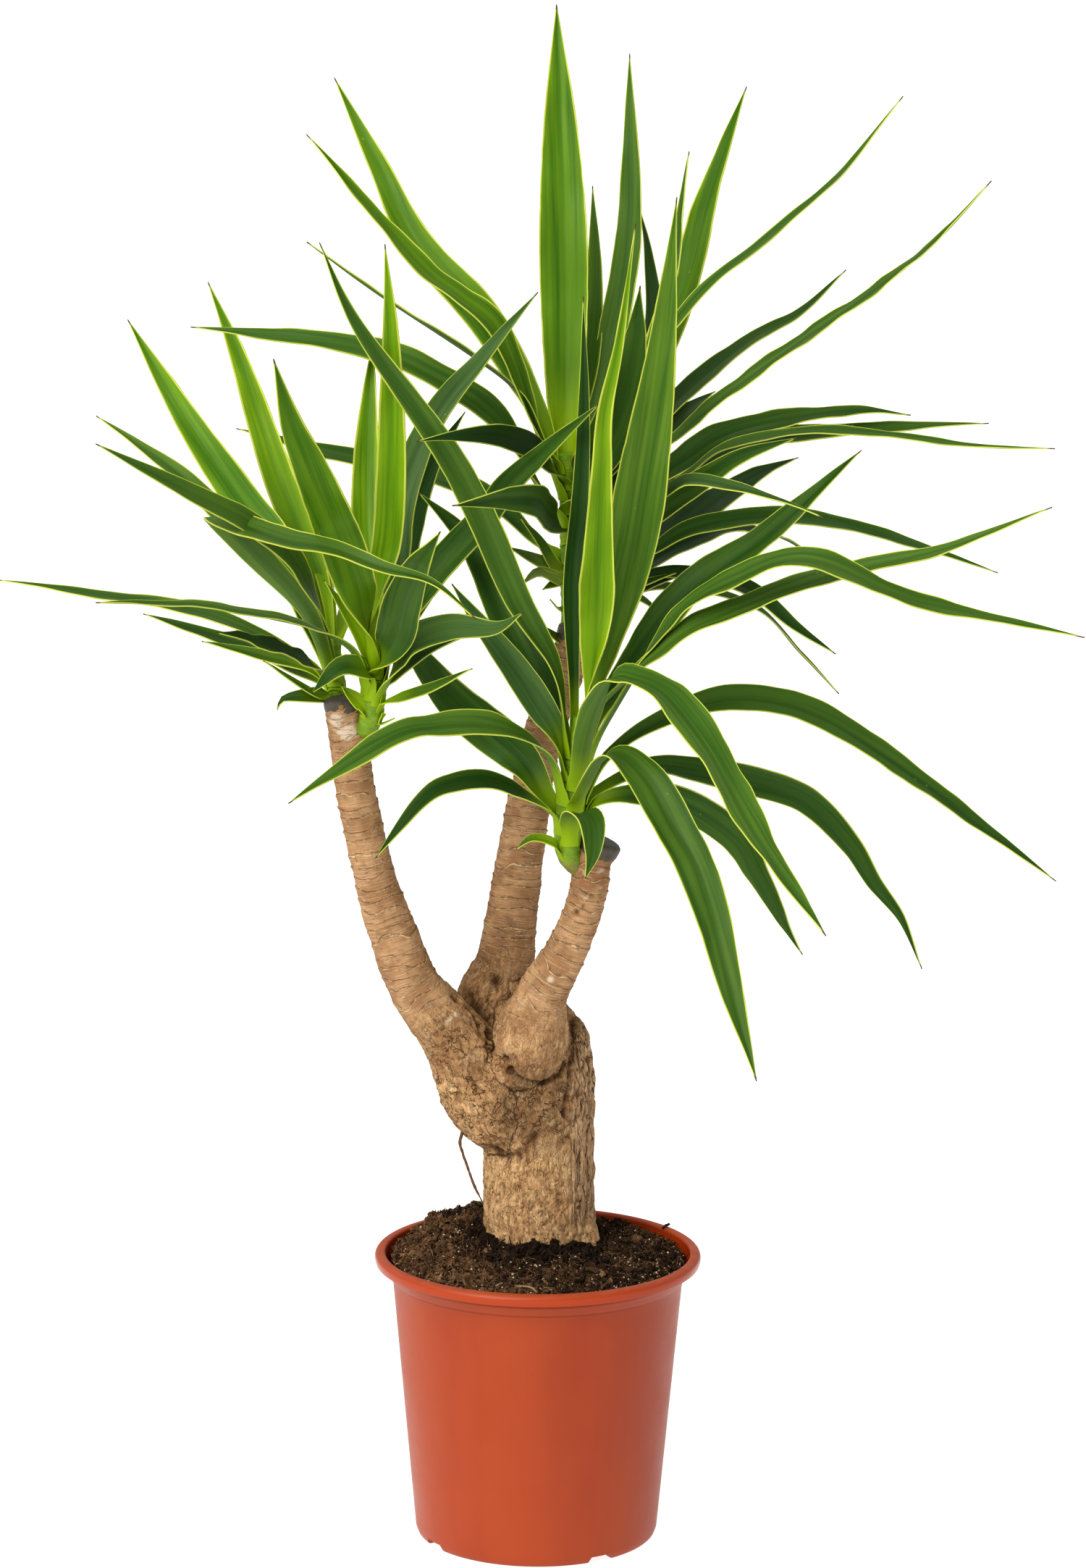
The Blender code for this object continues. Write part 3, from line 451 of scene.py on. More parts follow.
# Each leaf, in cm: the height of its foot on the shoot, its width, the turn of its face from the sky to the
# front and its twist in degrees, how far its tip leans back, its tone, the points that its midrib passes
# through, and its own changes to leafShape.
leafRows = {
    "left_rear": [
        (63.5, 2.7, 75, 0, 14, "fresh", [
            (-16.5, 2.0, 67.4), (-19, 3, 72.9), (-21.7, 3.2, 76.4), (-25.6, 3.6, 82.1), (-29.9, 4, 89.3),
        ]),
        (64.3, 2.4, 70, 0, 18, "bright", [
            (-16.0, 4.6, 69.9), (-17.6, 5.2, 73.9), (-19.2, 5.2, 77.9), (-22, 5.4, 86.4), (-24.2, 5.4, 91.9),
        ]),
        (63, 2.1, 30, 0, 14, "mid", [
            (-17, 4.1, 67.2), (-18.7, 5.4, 70.2), (-24.4, 6.8, 75.8), (-27.2, 7, 78.3), (-32.5, 7, 82),
        ]),
        (64, 1.9, 60, -20, -14, "mid", [
            (-16.2, 1.0, 68.8), (-18.0, 0.5, 72.6), (-20.9, 0.6, 75), (-24.3, 0.8, 76.8), (-32, 1, 80.7),
        ]),
        (62.3, 1.9, 20, 0, 8, "mid", [
            (-17.0, 2.6, 64.6), (-22.7, 3, 67.5), (-27.5, 3, 68.7), (-32.3, 3, 69.4), (-39.4, 3, 70.5),
        ]),
        (62.8, 2.6, 50, 0, -14, "dark", [(-17.2, -0.3, 65.2), (-20.4, -1.6, 66.7), (-23.2, -2.4, 67.6)]),
        (65.1, 2.0, 80, 0, 16, "fresh", [(-13.6, 4.3, 70), (-14.6, 5.8, 72.4), (-17.3, 6.2, 77.2)]),
        (63, 2.2, 50, 0, -1, "mid", [
            (-16.7, -1, 68.7), (-19.9, -0.8, 72.4), (-22.7, -1.5, 75.5), (-22.9, -3.0, 76.1),
            (-22.4, -4.2, 76), (-20.6, -5.5, 75.5), (-17.8, -8, 75), (-14.75, -10, 74.8),
            (-11.25, -11.8, 73.75), (-7.6, -12.6, 72.8), (-4.5, -12.4, 70.2),
        ]),
        (62, 1.7, 30, 0, 6, "deep", [
            (-17.2, 4.3, 63.4), (-19.8, 5.8, 64.6), (-23.3, 6.8, 65.6), (-29.2, 6.8, 67.5),
        ]),
        (62.4, 1.3, 30, 0, 0, "mid", [(-17.3, 2.6, 64.3), (-20.4, 3.3, 65), (-24.7, 3.6, 66)]),
        (61.7, 0.9, 40, 0, 0, "mid", [(-16.4, -0.2, 62.8), (-19.9, -2, 65.5)]),
        (61.6, 1.3, 60, 0, 0, "deep", [(-16.7, -0.5, 62.7), (-18.5, -0.5, 62.5), (-19, -0.5, 61.7)]),
        (64.7, 1.0, 80, 0, 10, "bright", [(-15.6, 3.6, 69.4), (-17.1, 6.5, 74.4), (-18, 7, 79.6)]),
    ],
    "left_front": [
        (64.7, 2.2, 86, 0, -3, "bright", [
            (-11.6, -2.7, 70.4), (-10.9, -2.4, 75.6), (-10.7, -2.2, 81.9), (-10.8, -2, 89.5),
            (-11.2, -2, 95.3),
        ], dict(neck=0.75)),
        (64.9, 2.3, 80, 0, 8, "bright", [
            (-12.2, -1.3, 70.9), (-12.55, -0.9, 75.4), (-12.5, -0.6, 81.9), (-12.1, -0.4, 88.4),
        ], dict(neck=0.8)),
        (64.3, 3.2, 85, 0, -14, "fresh", [
            (-12.9, -3.0, 69.7), (-14.1, -3.4, 73.9), (-16.1, -3.6, 78.9), (-17.8, -3.6, 83),
            (-19, -3.4, 87.3),
        ]),
        (64, 3.0, 78, 0, -12, "deep", [
            (-10.4, -3.4, 67.8), (-9.7, -3.9, 70.6), (-8.7, -4, 73), (-7.2, -4.1, 75.2),
        ]),
        (64.6, 2.3, 60, 0, 2, "grey", [
            (-10.4, -1.0, 71.4), (-9.9, 0.3, 77.4), (-7.6, 1, 82.9), (-4, 1.2, 87.4), (-0.4, 1.4, 91.7),
        ]),
        (63.3, 2.4, 60, 0, 0, "deep", [
            (-10.4, -1.6, 67), (-7.9, -1.5, 71.4), (-3.8, 0.3, 76), (-1.8, 0.3, 78.6), (4.0, -3.6, 84.3),
        ]),
        (63.1, 1.9, 20, 0, -14, "mid", [
            (-13.6, -2.2, 66.2), (-16.3, -2.7, 67.9), (-20.6, -3.3, 69), (-25.1, -3.6, 69.7),
            (-31.7, -3.6, 69.9),
        ]),
        (62.3, 2.3, 60, 20, -5, "grey", [
            (-10.7, -2.8, 64.4), (-9.2, -3.6, 67.1), (-6.4, -4.5, 68.4), (-3.2, -5.3, 68.5),
            (-1.3, -5.8, 69.7),
        ]),
        (63.7, 2.4, 60, 0, 14, "dark", [(-10.8, 1.0, 69.4), (-9.5, 2.0, 75), (-8, 2.4, 79), (-5.6, 2.2, 83)]),
        (62.2, 1.8, 30, 0, -2, "dark", [(-10.9, -1.9, 63.8), (-8.3, -2, 66), (-5.6, -2, 67.3)]),
        (61.7, 1.2, 40, 0, -2, "mid", [(-10.8, -2.6, 62.7), (-7.9, -3.6, 63.8), (-4.9, -4.2, 65.4)]),
        (61.2, 0.7, 40, 0, 0, "fresh", [(-11.6, -1.8, 61.0), (-10.5, -2, 61.4)]),
        (62.7, 1.8, 60, 0, 0, "deep", [
            (-12.3, -2.6, 64.8), (-13, -3.6, 65.3), (-14.4, -4.2, 65.4), (-16.3, -4.2, 63.6),
        ]),
        (61.4, 1.2, 60, 0, 0, "mid", [(-12.9, -2.3, 62.4), (-14.3, -2.5, 63.8)]),
        (64.1, 1.0, 60, 0, 0, "fresh", [(-12.8, -2.8, 67), (-14.1, -2.8, 69.4), (-15.5, -2.8, 71.5)]),
        (63.8, 2.4, 60, 0, 4, "dark", [
            (-10.9, -1.9, 67), (-9.2, -2, 69.6), (-7.8, -2.1, 71.4), (-6.2, -2.2, 73.4),
        ]),
    ],
    "back": [
        (78, 3.6, 85, 0, 8, "fresh", [
            (1.6, 8.6, 82), (1.5, 9, 90.1), (1.3, 9.4, 98.1), (0.8, 9.6, 111.7),
        ], dict(neck=0.72, widest=0.45)),
        (76.8, 2.2, 25, 0, 14, "mid", [
            (3.9, 8.6, 82.4), (5.9, 9.6, 92.4), (6.3, 9.8, 98.4), (6.1, 9.8, 108.2),
        ]),
        (75, 3.3, 88, 0, -4, "deep", [
            (3.2, 4.4, 78.4), (5.3, 3.6, 82.4), (6.5, 2.6, 87.6), (6.9, 2.5, 92.1),
        ]),
        (75.8, 2.7, 48, 0, 12, "fresh", [
            (5.6, 8.0, 80.4), (10, 9.5, 90.7), (11.9, 10, 97.9), (14.6, 10, 105.9),
        ]),
        (76.2, 1.8, 16, 0, 8, "mid", [
            (5.6, 6.6, 83.5), (11.25, 5.8, 91), (16.35, 5.4, 95.4), (21.4, 5.2, 100.05), (25.6, 5, 105.5),
        ]),
        (73.6, 2.2, 38, 0, -14, "mid", [
            (4.6, 5.3, 75.6), (9.2, 3.4, 80.6), (13.6, 2.4, 84.5), (18.4, 1.9, 88.1), (23.8, 1.5, 92.0),
            (28.2, 1.1, 95.8), (31.7, 1, 99.8),
        ]),
        (74.4, 2.0, 22, 0, 20, "deep", [
            (5.5, 8.6, 78.4), (9.9, 10, 83.1), (15.1, 11, 87.3), (18.8, 11, 89.4), (22.1, 11, 92.6),
        ]),
        (72.6, 2.4, 38, 0, 8, "deep", [
            (5, 7.4, 75), (10, 8.2, 78.6), (14.2, 8.6, 81), (22, 9, 82.4), (26.9, 9, 82.2),
        ]),
        (71.8, 1.8, 25, 0, -6, "mid", [
            (4.8, 5.6, 73.6), (10.3, 4.6, 78), (13.8, 4.3, 80.4), (20.8, 4, 81.5), (31.4, 4, 80.5),
            (37, 4, 80.4),
        ]),
        (70.8, 2.9, 50, 0, 20, "dark", [
            (4.8, 9.2, 71.4), (8.5, 11, 72.6), (11.6, 12, 74.4), (15.2, 12.5, 76.9), (18.9, 12.5, 78.6),
        ]),
        (70.2, 2.0, 50, -60, -9, "grey", [
            (4.4, 3.6, 73.2), (9, 2.0, 77.2), (11.3, 2.2, 78.1), (17.1, 1.9, 76.7), (20.2, 1.8, 75.6),
        ]),
        (69.4, 1.9, 45, 0, 14, "deep", [
            (4.6, 7.1, 70.6), (8, 7.2, 72.2), (11.5, 7.4, 74.1), (18, 7.6, 74.8), (24.6, 7.6, 73.6),
            (33.4, 7.6, 70.8),
        ]),
        (67.8, 2.3, 20, 40, -4, "dark", [
            (4.5, 6.2, 69.2), (7.7, 5.6, 70.6), (14.1, 5.4, 70.2), (18.4, 5.2, 67.1), (21.5, 5.2, 65.1),
        ]),
        (77.2, 2.7, 75, 0, 14, "fresh", [
            (0.0, 7.9, 81.4), (-4.1, 8.6, 88.8), (-9.1, 8.6, 94.4), (-12, 8.6, 100.1), (-15.2, 8.6, 106.4),
        ]),
        (76, 2.4, 40, 0, 6, "fresh", [
            (-0.6, 5.2, 81.4), (-3.2, 4.4, 88.4), (-6, 4.2, 91), (-9.3, 4.2, 93.7), (-17, 4, 102.6),
        ]),
        (74, 2.5, 50, 0, 4, "mid", [
            (-0.8, 5.3, 77.8), (-3.5, 4.2, 82.4), (-7.6, 3.4, 85.3), (-13.2, 3, 87.5), (-25.3, 3, 88.9),
        ]),
        (71, 2.3, 45, 0, 18, "deep", [
            (-0.6, 8.4, 72.8), (-3.7, 9.6, 75.6), (-7.9, 10.5, 77.3), (-15.6, 11.4, 78.8),
            (-22.6, 11.6, 80.6),
        ]),
        (72.8, 2.5, 78, 0, -14, "deep", [
            (0.4, 3.6, 75.4), (-0.62, 1.2, 76.8), (-3.2, -1.3, 77.2), (-6.4, -2.2, 76.8),
        ]),
        (77.6, 1.6, 50, 0, 10, "sheen", [(2.6, 8.8, 82), (3.4, 9, 86.4), (3.7, 9.5, 92.4), (3.5, 9.5, 98.7)]),
        (75.6, 1.8, 60, 0, 8, "grey", [
            (4.6, 9.6, 78), (6.5, 11, 81.4), (8.1, 12.5, 87.9), (7.7, 12.5, 93.4), (7, 12, 96.9),
        ]),
        (76.6, 2.4, 0, 0, 8, "mid", [(3.6, 6.0, 79.4), (6, 6, 82.4), (9.2, 6.5, 91.4), (10.4, 6.5, 101.4)]),
        (72.9, 2.4, 40, 0, 6, "deep", [(4.2, 9, 75.4), (5.5, 9.5, 77.4), (10, 13, 81.4), (12.8, 16, 83.1)]),
        (71.6, 2.0, 35, 0, 6, "mid", [
            (4.8, 8.2, 73.4), (9.5, 10, 76.9), (14, 11, 79.7), (24.6, 12, 80.8), (32.9, 12, 81.3),
        ]),
        (71.8, 2.2, 65, 0, -4, "deep", [
            (3.9, 5.4, 73), (6, 3.8, 74.2), (12.4, 2, 78.8), (14.8, 1.6, 80.2), (18.2, 1.2, 81.4),
        ]),
        (68.2, 2.4, 20, 0, 8, "dark", [
            (5, 9.5, 69.4), (11.1, 11, 72.5), (14.3, 12, 73.2), (17.7, 12.5, 72.6), (20.5, 13, 70.9),
        ]),
        (67.0, 1.5, 20, 0, 4, "deep", [
            (4.3, 7.9, 67.9), (9, 8.7, 69.4), (15.6, 9, 67.9), (19.1, 9, 64.5), (22, 9, 61.5),
        ]),
        (67.8, 1.4, 40, 0, 0, "deep", [(4.6, 4.9, 69), (7.8, 3.2, 70.6), (9.8, 2.6, 71.4)]),
        (66.9, 1.3, 40, 0, 0, "grey", [(5, 4.4, 67.9), (6.7, 2.5, 69.6), (8.8, 1.5, 68.4)]),
        (68.2, 1.4, 40, 0, 0, "dark", [(4.6, 6, 69), (6.9, 5.2, 69.6), (8.7, 5, 70.4), (10.5, 5, 70.9)]),
        (66.2, 0.7, 40, 0, 0, "deep", [(4.4, 5.9, 66.8), (6.4, 5.5, 67.4)]),
        (78.0, 1.8, 0, 0, 0, "mid", [
            (0, 6.3, 80.2), (-1.8, 6.2, 83.8), (-4.9, 6, 86.4), (-12.2, 6, 91.2), (-17.1, 6, 94.8),
        ]),
        (76.8, 2.0, 75, 0, 0, "dark", [
            (0.2, 3, 79.2), (-0.95, 1.5, 80.6), (-3.18, -3, 81.9), (-6.06, -6.5, 82.3), (-8.8, -7.5, 82.0),
        ]),
        (70.4, 1.2, 60, 0, 0, "pale", [(0.6, 5.5, 71.4), (-2.5, 4, 73)]),
        (69.6, 1.2, 60, 0, 0, "pale", [(1.2, 5.6, 70.4), (-0.26, 4.5, 71.1), (-1.5, 4.2, 70.2)]),
        (69.2, 1.0, 60, 0, 0, "dark", [(1.2, 5.6, 70.2), (0.05, 4, 69.9)]),
        (67.2, 0.7, 60, 0, 0, "deep", [(1.3, 5.8, 68.1), (0.6, 4.5, 69.1)]),
        (65.2, 1.0, 60, 0, 0, "dark", [(1.3, 5.7, 65.9), (-0.3, 4, 67.4)]),
        (70.2, 1.0, 60, 0, 0, "mid", [(0.9, 5.6, 71.4), (-0.26, 5, 73.4), (-1.6, 4.8, 75)]),
    ],
    "front": [
        (59, 2.2, 75, 0, -5, "mid", [
            (0.9, -3.9, 65.4), (-1.6, -3.7, 70), (-5, -3.2, 77.5), (-7.7, -2.9, 82), (-13.2, -2.4, 89.7),
            (-15.8, -2.2, 95.4),
        ]),
        (58.6, 2.55, 88, 0, -4, "bright", [
            (3.3, -5.2, 62.2), (3.75, -5.5, 67.1), (3.99, -5.6, 74.5), (4.16, -5.6, 79.7), (4.37, -5.6, 84),
            (5.37, -5.4, 89.1), (6.4, -5.2, 97.1),
        ], dict(neck=0.4, widest=0.35, taper=0.75, sheath=0.45)),
        (60, 3.8, 85, 0, 0, "sheen", [
            (3.9, -3.6, 63.3), (4.75, -3.5, 66.7), (5.65, -3.4, 70.5), (6.37, -3.4, 74.2), (7.17, -3.4, 79.4),
            (7.81, -3.4, 83.8), (8.44, -3.4, 88.9), (9.3, -3.2, 98.8),
        ], dict(neck=0.35, widest=0.47, taper=1.1, sheath=0.4)),
        (59.2, 2.6, 50, 0, 3, "deep", [
            (4.4, -2.0, 62), (7.8, -1.8, 67.3), (10.8, -1.4, 71), (15.9, -1.2, 74.6), (22.7, -1, 80.8),
        ]),
        (57.8, 2.5, 35, 0, -8, "mid", [
            (4.8, -4.7, 61.6), (9.4, -6.5, 69.3), (13.55, -8.6, 72.5), (18.6, -10.2, 74.2), (26.3, -8.2, 71),
            (38.4, -6, 68.2),
        ]),
        (58.6, 2.2, 40, 0, -7, "mid", [
            (4.0, -5.9, 62.65), (9.3, -7.65, 68.0), (12.5, -7.9, 69.82), (19.85, -7.65, 72.57),
            (28.4, -7.8, 74.7), (35.6, -8.6, 77.8),
        ]),
        (56.6, 3.35, 35, 0, -6, "mid", [
            (3.4, -7, 61.5), (4.9, -8, 65.2), (6.5, -8.9, 65.4), (8.5, -10.2, 64.7), (10.3, -11, 62.8),
            (11.8, -11.8, 60.8), (13.5, -12.4, 57.8),
            (15.5, -13, 54.5), (17.2, -13.6, 52), (20, -14.2, 48.3),
        ], dict(taper=2.4, neck=0.42, sheath=0.5)),
        (55, 2.9, 70, 0, -9, "mid", [
            (2.9, -6, 56.6), (4.4, -7.2, 59.3), (5.65, -8, 59.8), (7.5, -9.6, 58.4), (9.3, -10.8, 55.4),
            (10.85, -11.6, 52.7), (12.1, -12.4, 49.2),
            (12.95, -13, 46.1), (13.85, -13.5, 42.7), (14.7, -13.8, 39.9), (15.3, -14, 37.8),
        ], dict(taper=2.2, neck=0.36, sheath=0.45)),
        (55.6, 2.25, 50, 0, 10, "deep", [
            (4.8, -3.2, 58.8), (8.4, -3.2, 61.4), (13.3, -3.6, 63.2), (18.7, -4.4, 62.6), (24.6, -5, 59.3),
            (36.8, -6, 50.6),
        ]),
        (53.8, 2.4, 80, 90, 12, "deep", [
            (3.8, -4.4, 55.6), (6.1, -5, 56.4), (9.8, -5.4, 56.2), (13.8, -5.6, 53.7), (15.7, -5.8, 50.7),
            (18.8, -6, 45.1),
        ]),
        (52.6, 2.3, 25, 0, -4, "deep", [
            (2.3, -5.6, 54.6), (2.9, -6.6, 55.4), (3.6, -7.5, 54.8), (3.7, -8, 52.8), (3.2, -8.1, 51),
        ]),
        (55.6, 2.7, 35, 0, -8, "mid", [
            (0.7, -4.4, 58.4), (-0.2, -5.2, 59.9), (-1.9, -6, 61), (-4.4, -6.6, 61.7), (-7.5, -7, 61.6),
            (-10.7, -7.5, 60.8), (-17.8, -8.5, 56.4),
        ]),
        (53.4, 1.8, 45, 0, -3, "deep", [
            (0.7, -4.6, 55), (-1.8, -5.2, 56.7), (-3.8, -5.6, 57.5), (-6, -6, 57.4), (-8.2, -6.3, 56.4),
            (-11.7, -7, 52.2),
        ]),
        (54.2, 3.2, 85, 0, 9, "deep", [
            (0.1, -3.2, 56.2), (-1.6, -2.4, 58.8), (-6, -1.4, 62.4), (-8.9, -0.4, 65.8), (-10.2, 0.8, 68),
        ]),
        (57.6, 2.8, 70, 0, 5, "deep", [
            (0.9, -3.0, 61.8), (-1.7, -2.0, 67.2), (-3.0, -1.2, 69.7), (-4.3, -0.5, 72.3), (-5.8, 0.2, 74.5),
            (-8.9, 0.6, 77.4),
        ]),
        (60.2, 1.35, 40, 0, 2, "dark", [
            (2.3, -3.2, 64.4), (2.15, -2.8, 71), (2.7, -2.4, 77.8), (2.9, -2.2, 84.5), (2.8, -2, 91.7),
        ]),
        (54.9, 2.2, 60, 130, 6, "deep", [
            (4, -2.8, 56.2), (6, -2.3, 57.2), (8.3, -1.5, 57.9), (12.1, 0, 57.2), (17.6, 1.5, 55.7),
            (20.2, 2, 54.2), (22.8, 2, 51.4), (24.4, 2, 48.8), (26.5, 2, 46.1), (28, 2, 42.3),
        ]),
        (51.4, 0.9, 40, 0, 0, "deep", [(0.9, -4.8, 52.9), (-0.6, -5.2, 53.3), (-1.7, -5.6, 52.6)]),
        (57.4, 2.2, 80, 0, 2, "grey", [
            (1, -4.9, 60.9), (-0.3, -4.8, 63.2), (-1.8, -4.6, 65.4), (-3.1, -4.3, 67.1), (-4.8, -3.9, 69.2),
            (-6.4, -3.6, 71.4),
        ]),
    ],
}


def shootAxis(points, height):
    # the middle of the shoot and its radius at this height
    for low, high in zip(points[1:], points[2:]):
        if height <= high[2] or high is points[-1]:
            share = (height - low[2]) / (high[2] - low[2])
            return Vector(low).lerp(Vector(high), min(max(share, 0), 1))


def leaned(start, route, lean):
    # moves the tip back along the line to the eye, so that from the front the leaf stays where it is
    points = [Vector(point) for point in route]
    lengths = [(after - before).length for before, after in zip([start, *points], points)]
    eye, moved = leafShape["eye"], []
    for number, point in enumerate(points, 1):
        back = lean * (sum(lengths[:number]) / sum(lengths)) ** leafShape["leanCurve"]
        moved.append(eye + (point - eye) * (1 + back / (point.y - eye.y)))
    return moved


def bladeFrames(spine, turn, twist, outward, clasp):
    # side and face directions along the midrib: set at its middle, carried both ways, and turned to the stem
    # at the foot
    last = len(spine) - 1
    tangents = [(spine[min(i + 1, last)] - spine[max(i - 1, 0)]).normalized() for i in range(last + 1)]
    middle = last // 2
    inward = Vector((0, 0, 1)) - outward * 0.3
    skyward = (inward - tangents[middle] * inward.dot(tangents[middle])).normalized()
    face = skyward * math.cos(math.radians(turn)) + Vector((0, -1, 0)) * math.sin(math.radians(turn))
    faces = {middle: (face - tangents[middle] * face.dot(tangents[middle])).normalized()}
    for i in [*range(middle + 1, last + 1), *range(middle - 1, -1, -1)]:
        beside = i - 1 if i > middle else i + 1
        faces[i] = tangents[beside].rotation_difference(tangents[i]) @ faces[beside]
    inner = -outward - tangents[0] * -outward.dot(tangents[0])
    toStem = math.atan2(inner.dot(tangents[0].cross(faces[0])), inner.dot(faces[0]))
    frames = []
    for i, tangent in enumerate(tangents):
        share = i / last
        roll = toStem * max(0, 1 - share / clasp) + math.radians(twist) * max(0, share - clasp)
        turned = Matrix.Rotation(roll, 3, tangent) @ faces[i]
        frames.append((tangent.cross(turned).normalized(), turned))
    return frames


def bladeWidth(share, shape):
    if share < shape["widest"]:
        return shape["neck"] + (1 - shape["neck"]) * smoothStep(0, shape["widest"], share)
    return 1 - ((share - shape["widest"]) / (1 - shape["widest"])) ** shape["taper"]


def bladeHalf(a, share, length, width, seed, shape):
    # half the blade's width here, with a sheath at its foot, a nibbled edge and a thread at its tip
    half = width / 2 * bladeWidth(share, shape)
    if share < 0.14:
        half = max(half, width / 2 * shape["sheath"] * smoothStep(0.14, 0.02, share))
    nibble = noise.noise(Vector((seed, share * length * 0.9, 3 * (a > 0)))) * shape["nibble"]
    left = min(length * (1 - share) / shape["threadLength"], 1)
    return max(half * (1 + nibble), shape["threadWidth"] / 2 * (0.5 + 0.5 * left))


def bladeSection(a, half, share, radius, shape):
    # a channel in cross-section, which curls round the stem at the blade's foot
    deep = shape["channel"] * (1 + 0.8 * smoothStep(0.3, 0.05, share) + 1.3 * smoothStep(0.8, 1, share))
    fold = math.atan(deep)
    u = a * half * 1.024
    ringed = smoothStep(0.16, 0.03, share)
    bent = max(-2.2, min(2.2, u / radius))
    x = u * math.cos(fold) * (1 - ringed) + radius * math.sin(bent) * ringed
    z = abs(a) ** 1.12 * half * 1.024 * math.sin(fold) * (1 - ringed) + radius * (1 - math.cos(bent)) * ringed
    return x, z


def makeLeaf(name, shoot, row):
    foot, width, turn, twist, lean, tone, route = row[:7]
    shape = {**leafShape, **(row[7] if len(row) > 7 else {})}
    chance = random.Random(name)
    axis, above = (shootAxis(shootStems[shoot], height) for height in (foot, foot + shape["heel"]))
    route = leaned(axis.xyz, route, lean)
    outward = route[0] - axis.xyz
    outward.z = 0
    outward.normalize()
    radius = axis.w + shape["standOff"]
    route = [axis.xyz + outward * radius, above.xyz + outward * (above.w + 3 * shape["standOff"]), *route]
    rough = smoothRoute(route, 24)
    length = sum((after - before).xyz.length for before, after in zip(rough, rough[1:]))
    along = max(14, min(90, int(length / shape["step"])))
    spine = smoothRoute(route, along + 1)
    frames = bladeFrames(spine, turn, twist, outward, shape["clasp"])
    deselectAll()
    bpy.ops.mesh.primitive_grid_add(x_subdivisions=shape["across"], y_subdivisions=along, size=2)
    leaf = bpy.context.object
    mesh = leaf.data
    phases = [chance.uniform(0, 6.3) for _ in range(4)]
    waveLength = chance.uniform(5.5, 9)
    wave = shape["wave"] * (min(width, 3.2) / 3) ** 2
    tilt = chance.uniform(-0.05, 0.05)
    seed = chance.uniform(0, 40)
    count = len(mesh.vertices)
    places, facts = np.zeros((count, 3)), np.zeros((count, 4))
    for number, vertex in enumerate(mesh.vertices):
        a = vertex.co.x  # from -1 at the left edge to 1 at the right
        share = min(max((vertex.co.y + 1) / 2, 0), 1)  # from the foot to the tip
        step = min(int(round(share * along)), along)
        side, face = frames[step]
        half = bladeHalf(a, share, length, width, seed, shape)
        x, z = bladeSection(a, half, share, radius, shape)
        turns = share * length / waveLength * 6.283
        slow, quick = (phases[0], phases[2]) if a > 0 else (phases[1], phases[3])
        ruffle = math.sin(turns + slow) + 0.22 * math.sin(2.7 * turns + quick)
        z += ruffle * wave * a * a * smoothStep(0.08, 0.3, share) * smoothStep(1, 0.75, share)
        z += tilt * x * smoothStep(0.1, 0.4, share)
        places[number] = (spine[step] + side * x + face * z) * cm
        edge = (1 - abs(a)) * max(half, shape["thin"])
        facts[number] = (a * half * cm, share * length * cm, edge * cm, share)
    mesh.vertices.foreach_set("co", places.ravel())
    shade = chance.uniform(0.86, 1.14)
    upper, lower, fresh = leafTones[tone]
    for key, colour in (("bladeTint", upper), ("bladeUnder", lower)):
        setColours(mesh, key, np.tile(np.array(colour) * shade, (count, 1)))
    setNumbers(mesh, **dict(zip(("bladeSide", "bladeAlong", "bladeEdge", "bladeShare"), facts.T)))
    setNumbers(mesh, bladeFresh=np.full(count, fresh), bladeSeed=np.full(count, seed))
    mesh.materials.append(leafFace)
    mesh.materials.append(leafBack)
    thickness = shape["thickness"] * cm
    applyModifier(leaf, "SOLIDIFY", thickness=thickness, offset=0, material_offset=1, material_offset_rim=0)
    node = f"leaf_{shoot}_{name[-2:]}"
    finishPiece(leaf, name, [], [node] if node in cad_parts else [], 60)


def camelTitle(words):
    return words.replace("_", " ").title().replace(" ", "")


for shoot, rows in leafRows.items():
    for number, row in enumerate(rows, 1):
        makeLeaf(f"leaf{camelTitle(shoot)}{number:02d}", shoot, row)
    print("leaves of the", shoot.replace("_", " "), "shoot ready:", len(rows))


potShape = dict(
    rim=0.120, height=0.214, lipWidth=0.008, lipDrop=0.0095, lipRound=0.0038, cove=0.009, wallTop=0.107,
    wallFoot=0.0895, foot=0.0865, chamfer=0.005, wall=0.0018, floor=0.002, lift=0.005, ring=0.0065, pad=0.035,
    notches=(32.5, 122.5, 212.5, 302.5), notchAngle=17, notchHeight=0.005, notchSlant=0.0045, steps=160,
    drain=0.006, drainRing=0.058,
)
# lip is a brighter orange painted as a highlight along the lip; shadow is painted shade under the lip
potFinish = dict(
    colour=(0.355, 0.051, 0.007), deep=(0.305, 0.038, 0.005), pale=(0.40, 0.078, 0.024),
    dust=(0.50, 0.22, 0.12), lip=(0.395, 0.046, 0.004), shadow=(0.10, 0.016, 0.004), roughness=0.38,
)
lipFoot = potShape["height"] - potShape["lipDrop"]
shoulder = lipFoot - potShape["cove"]


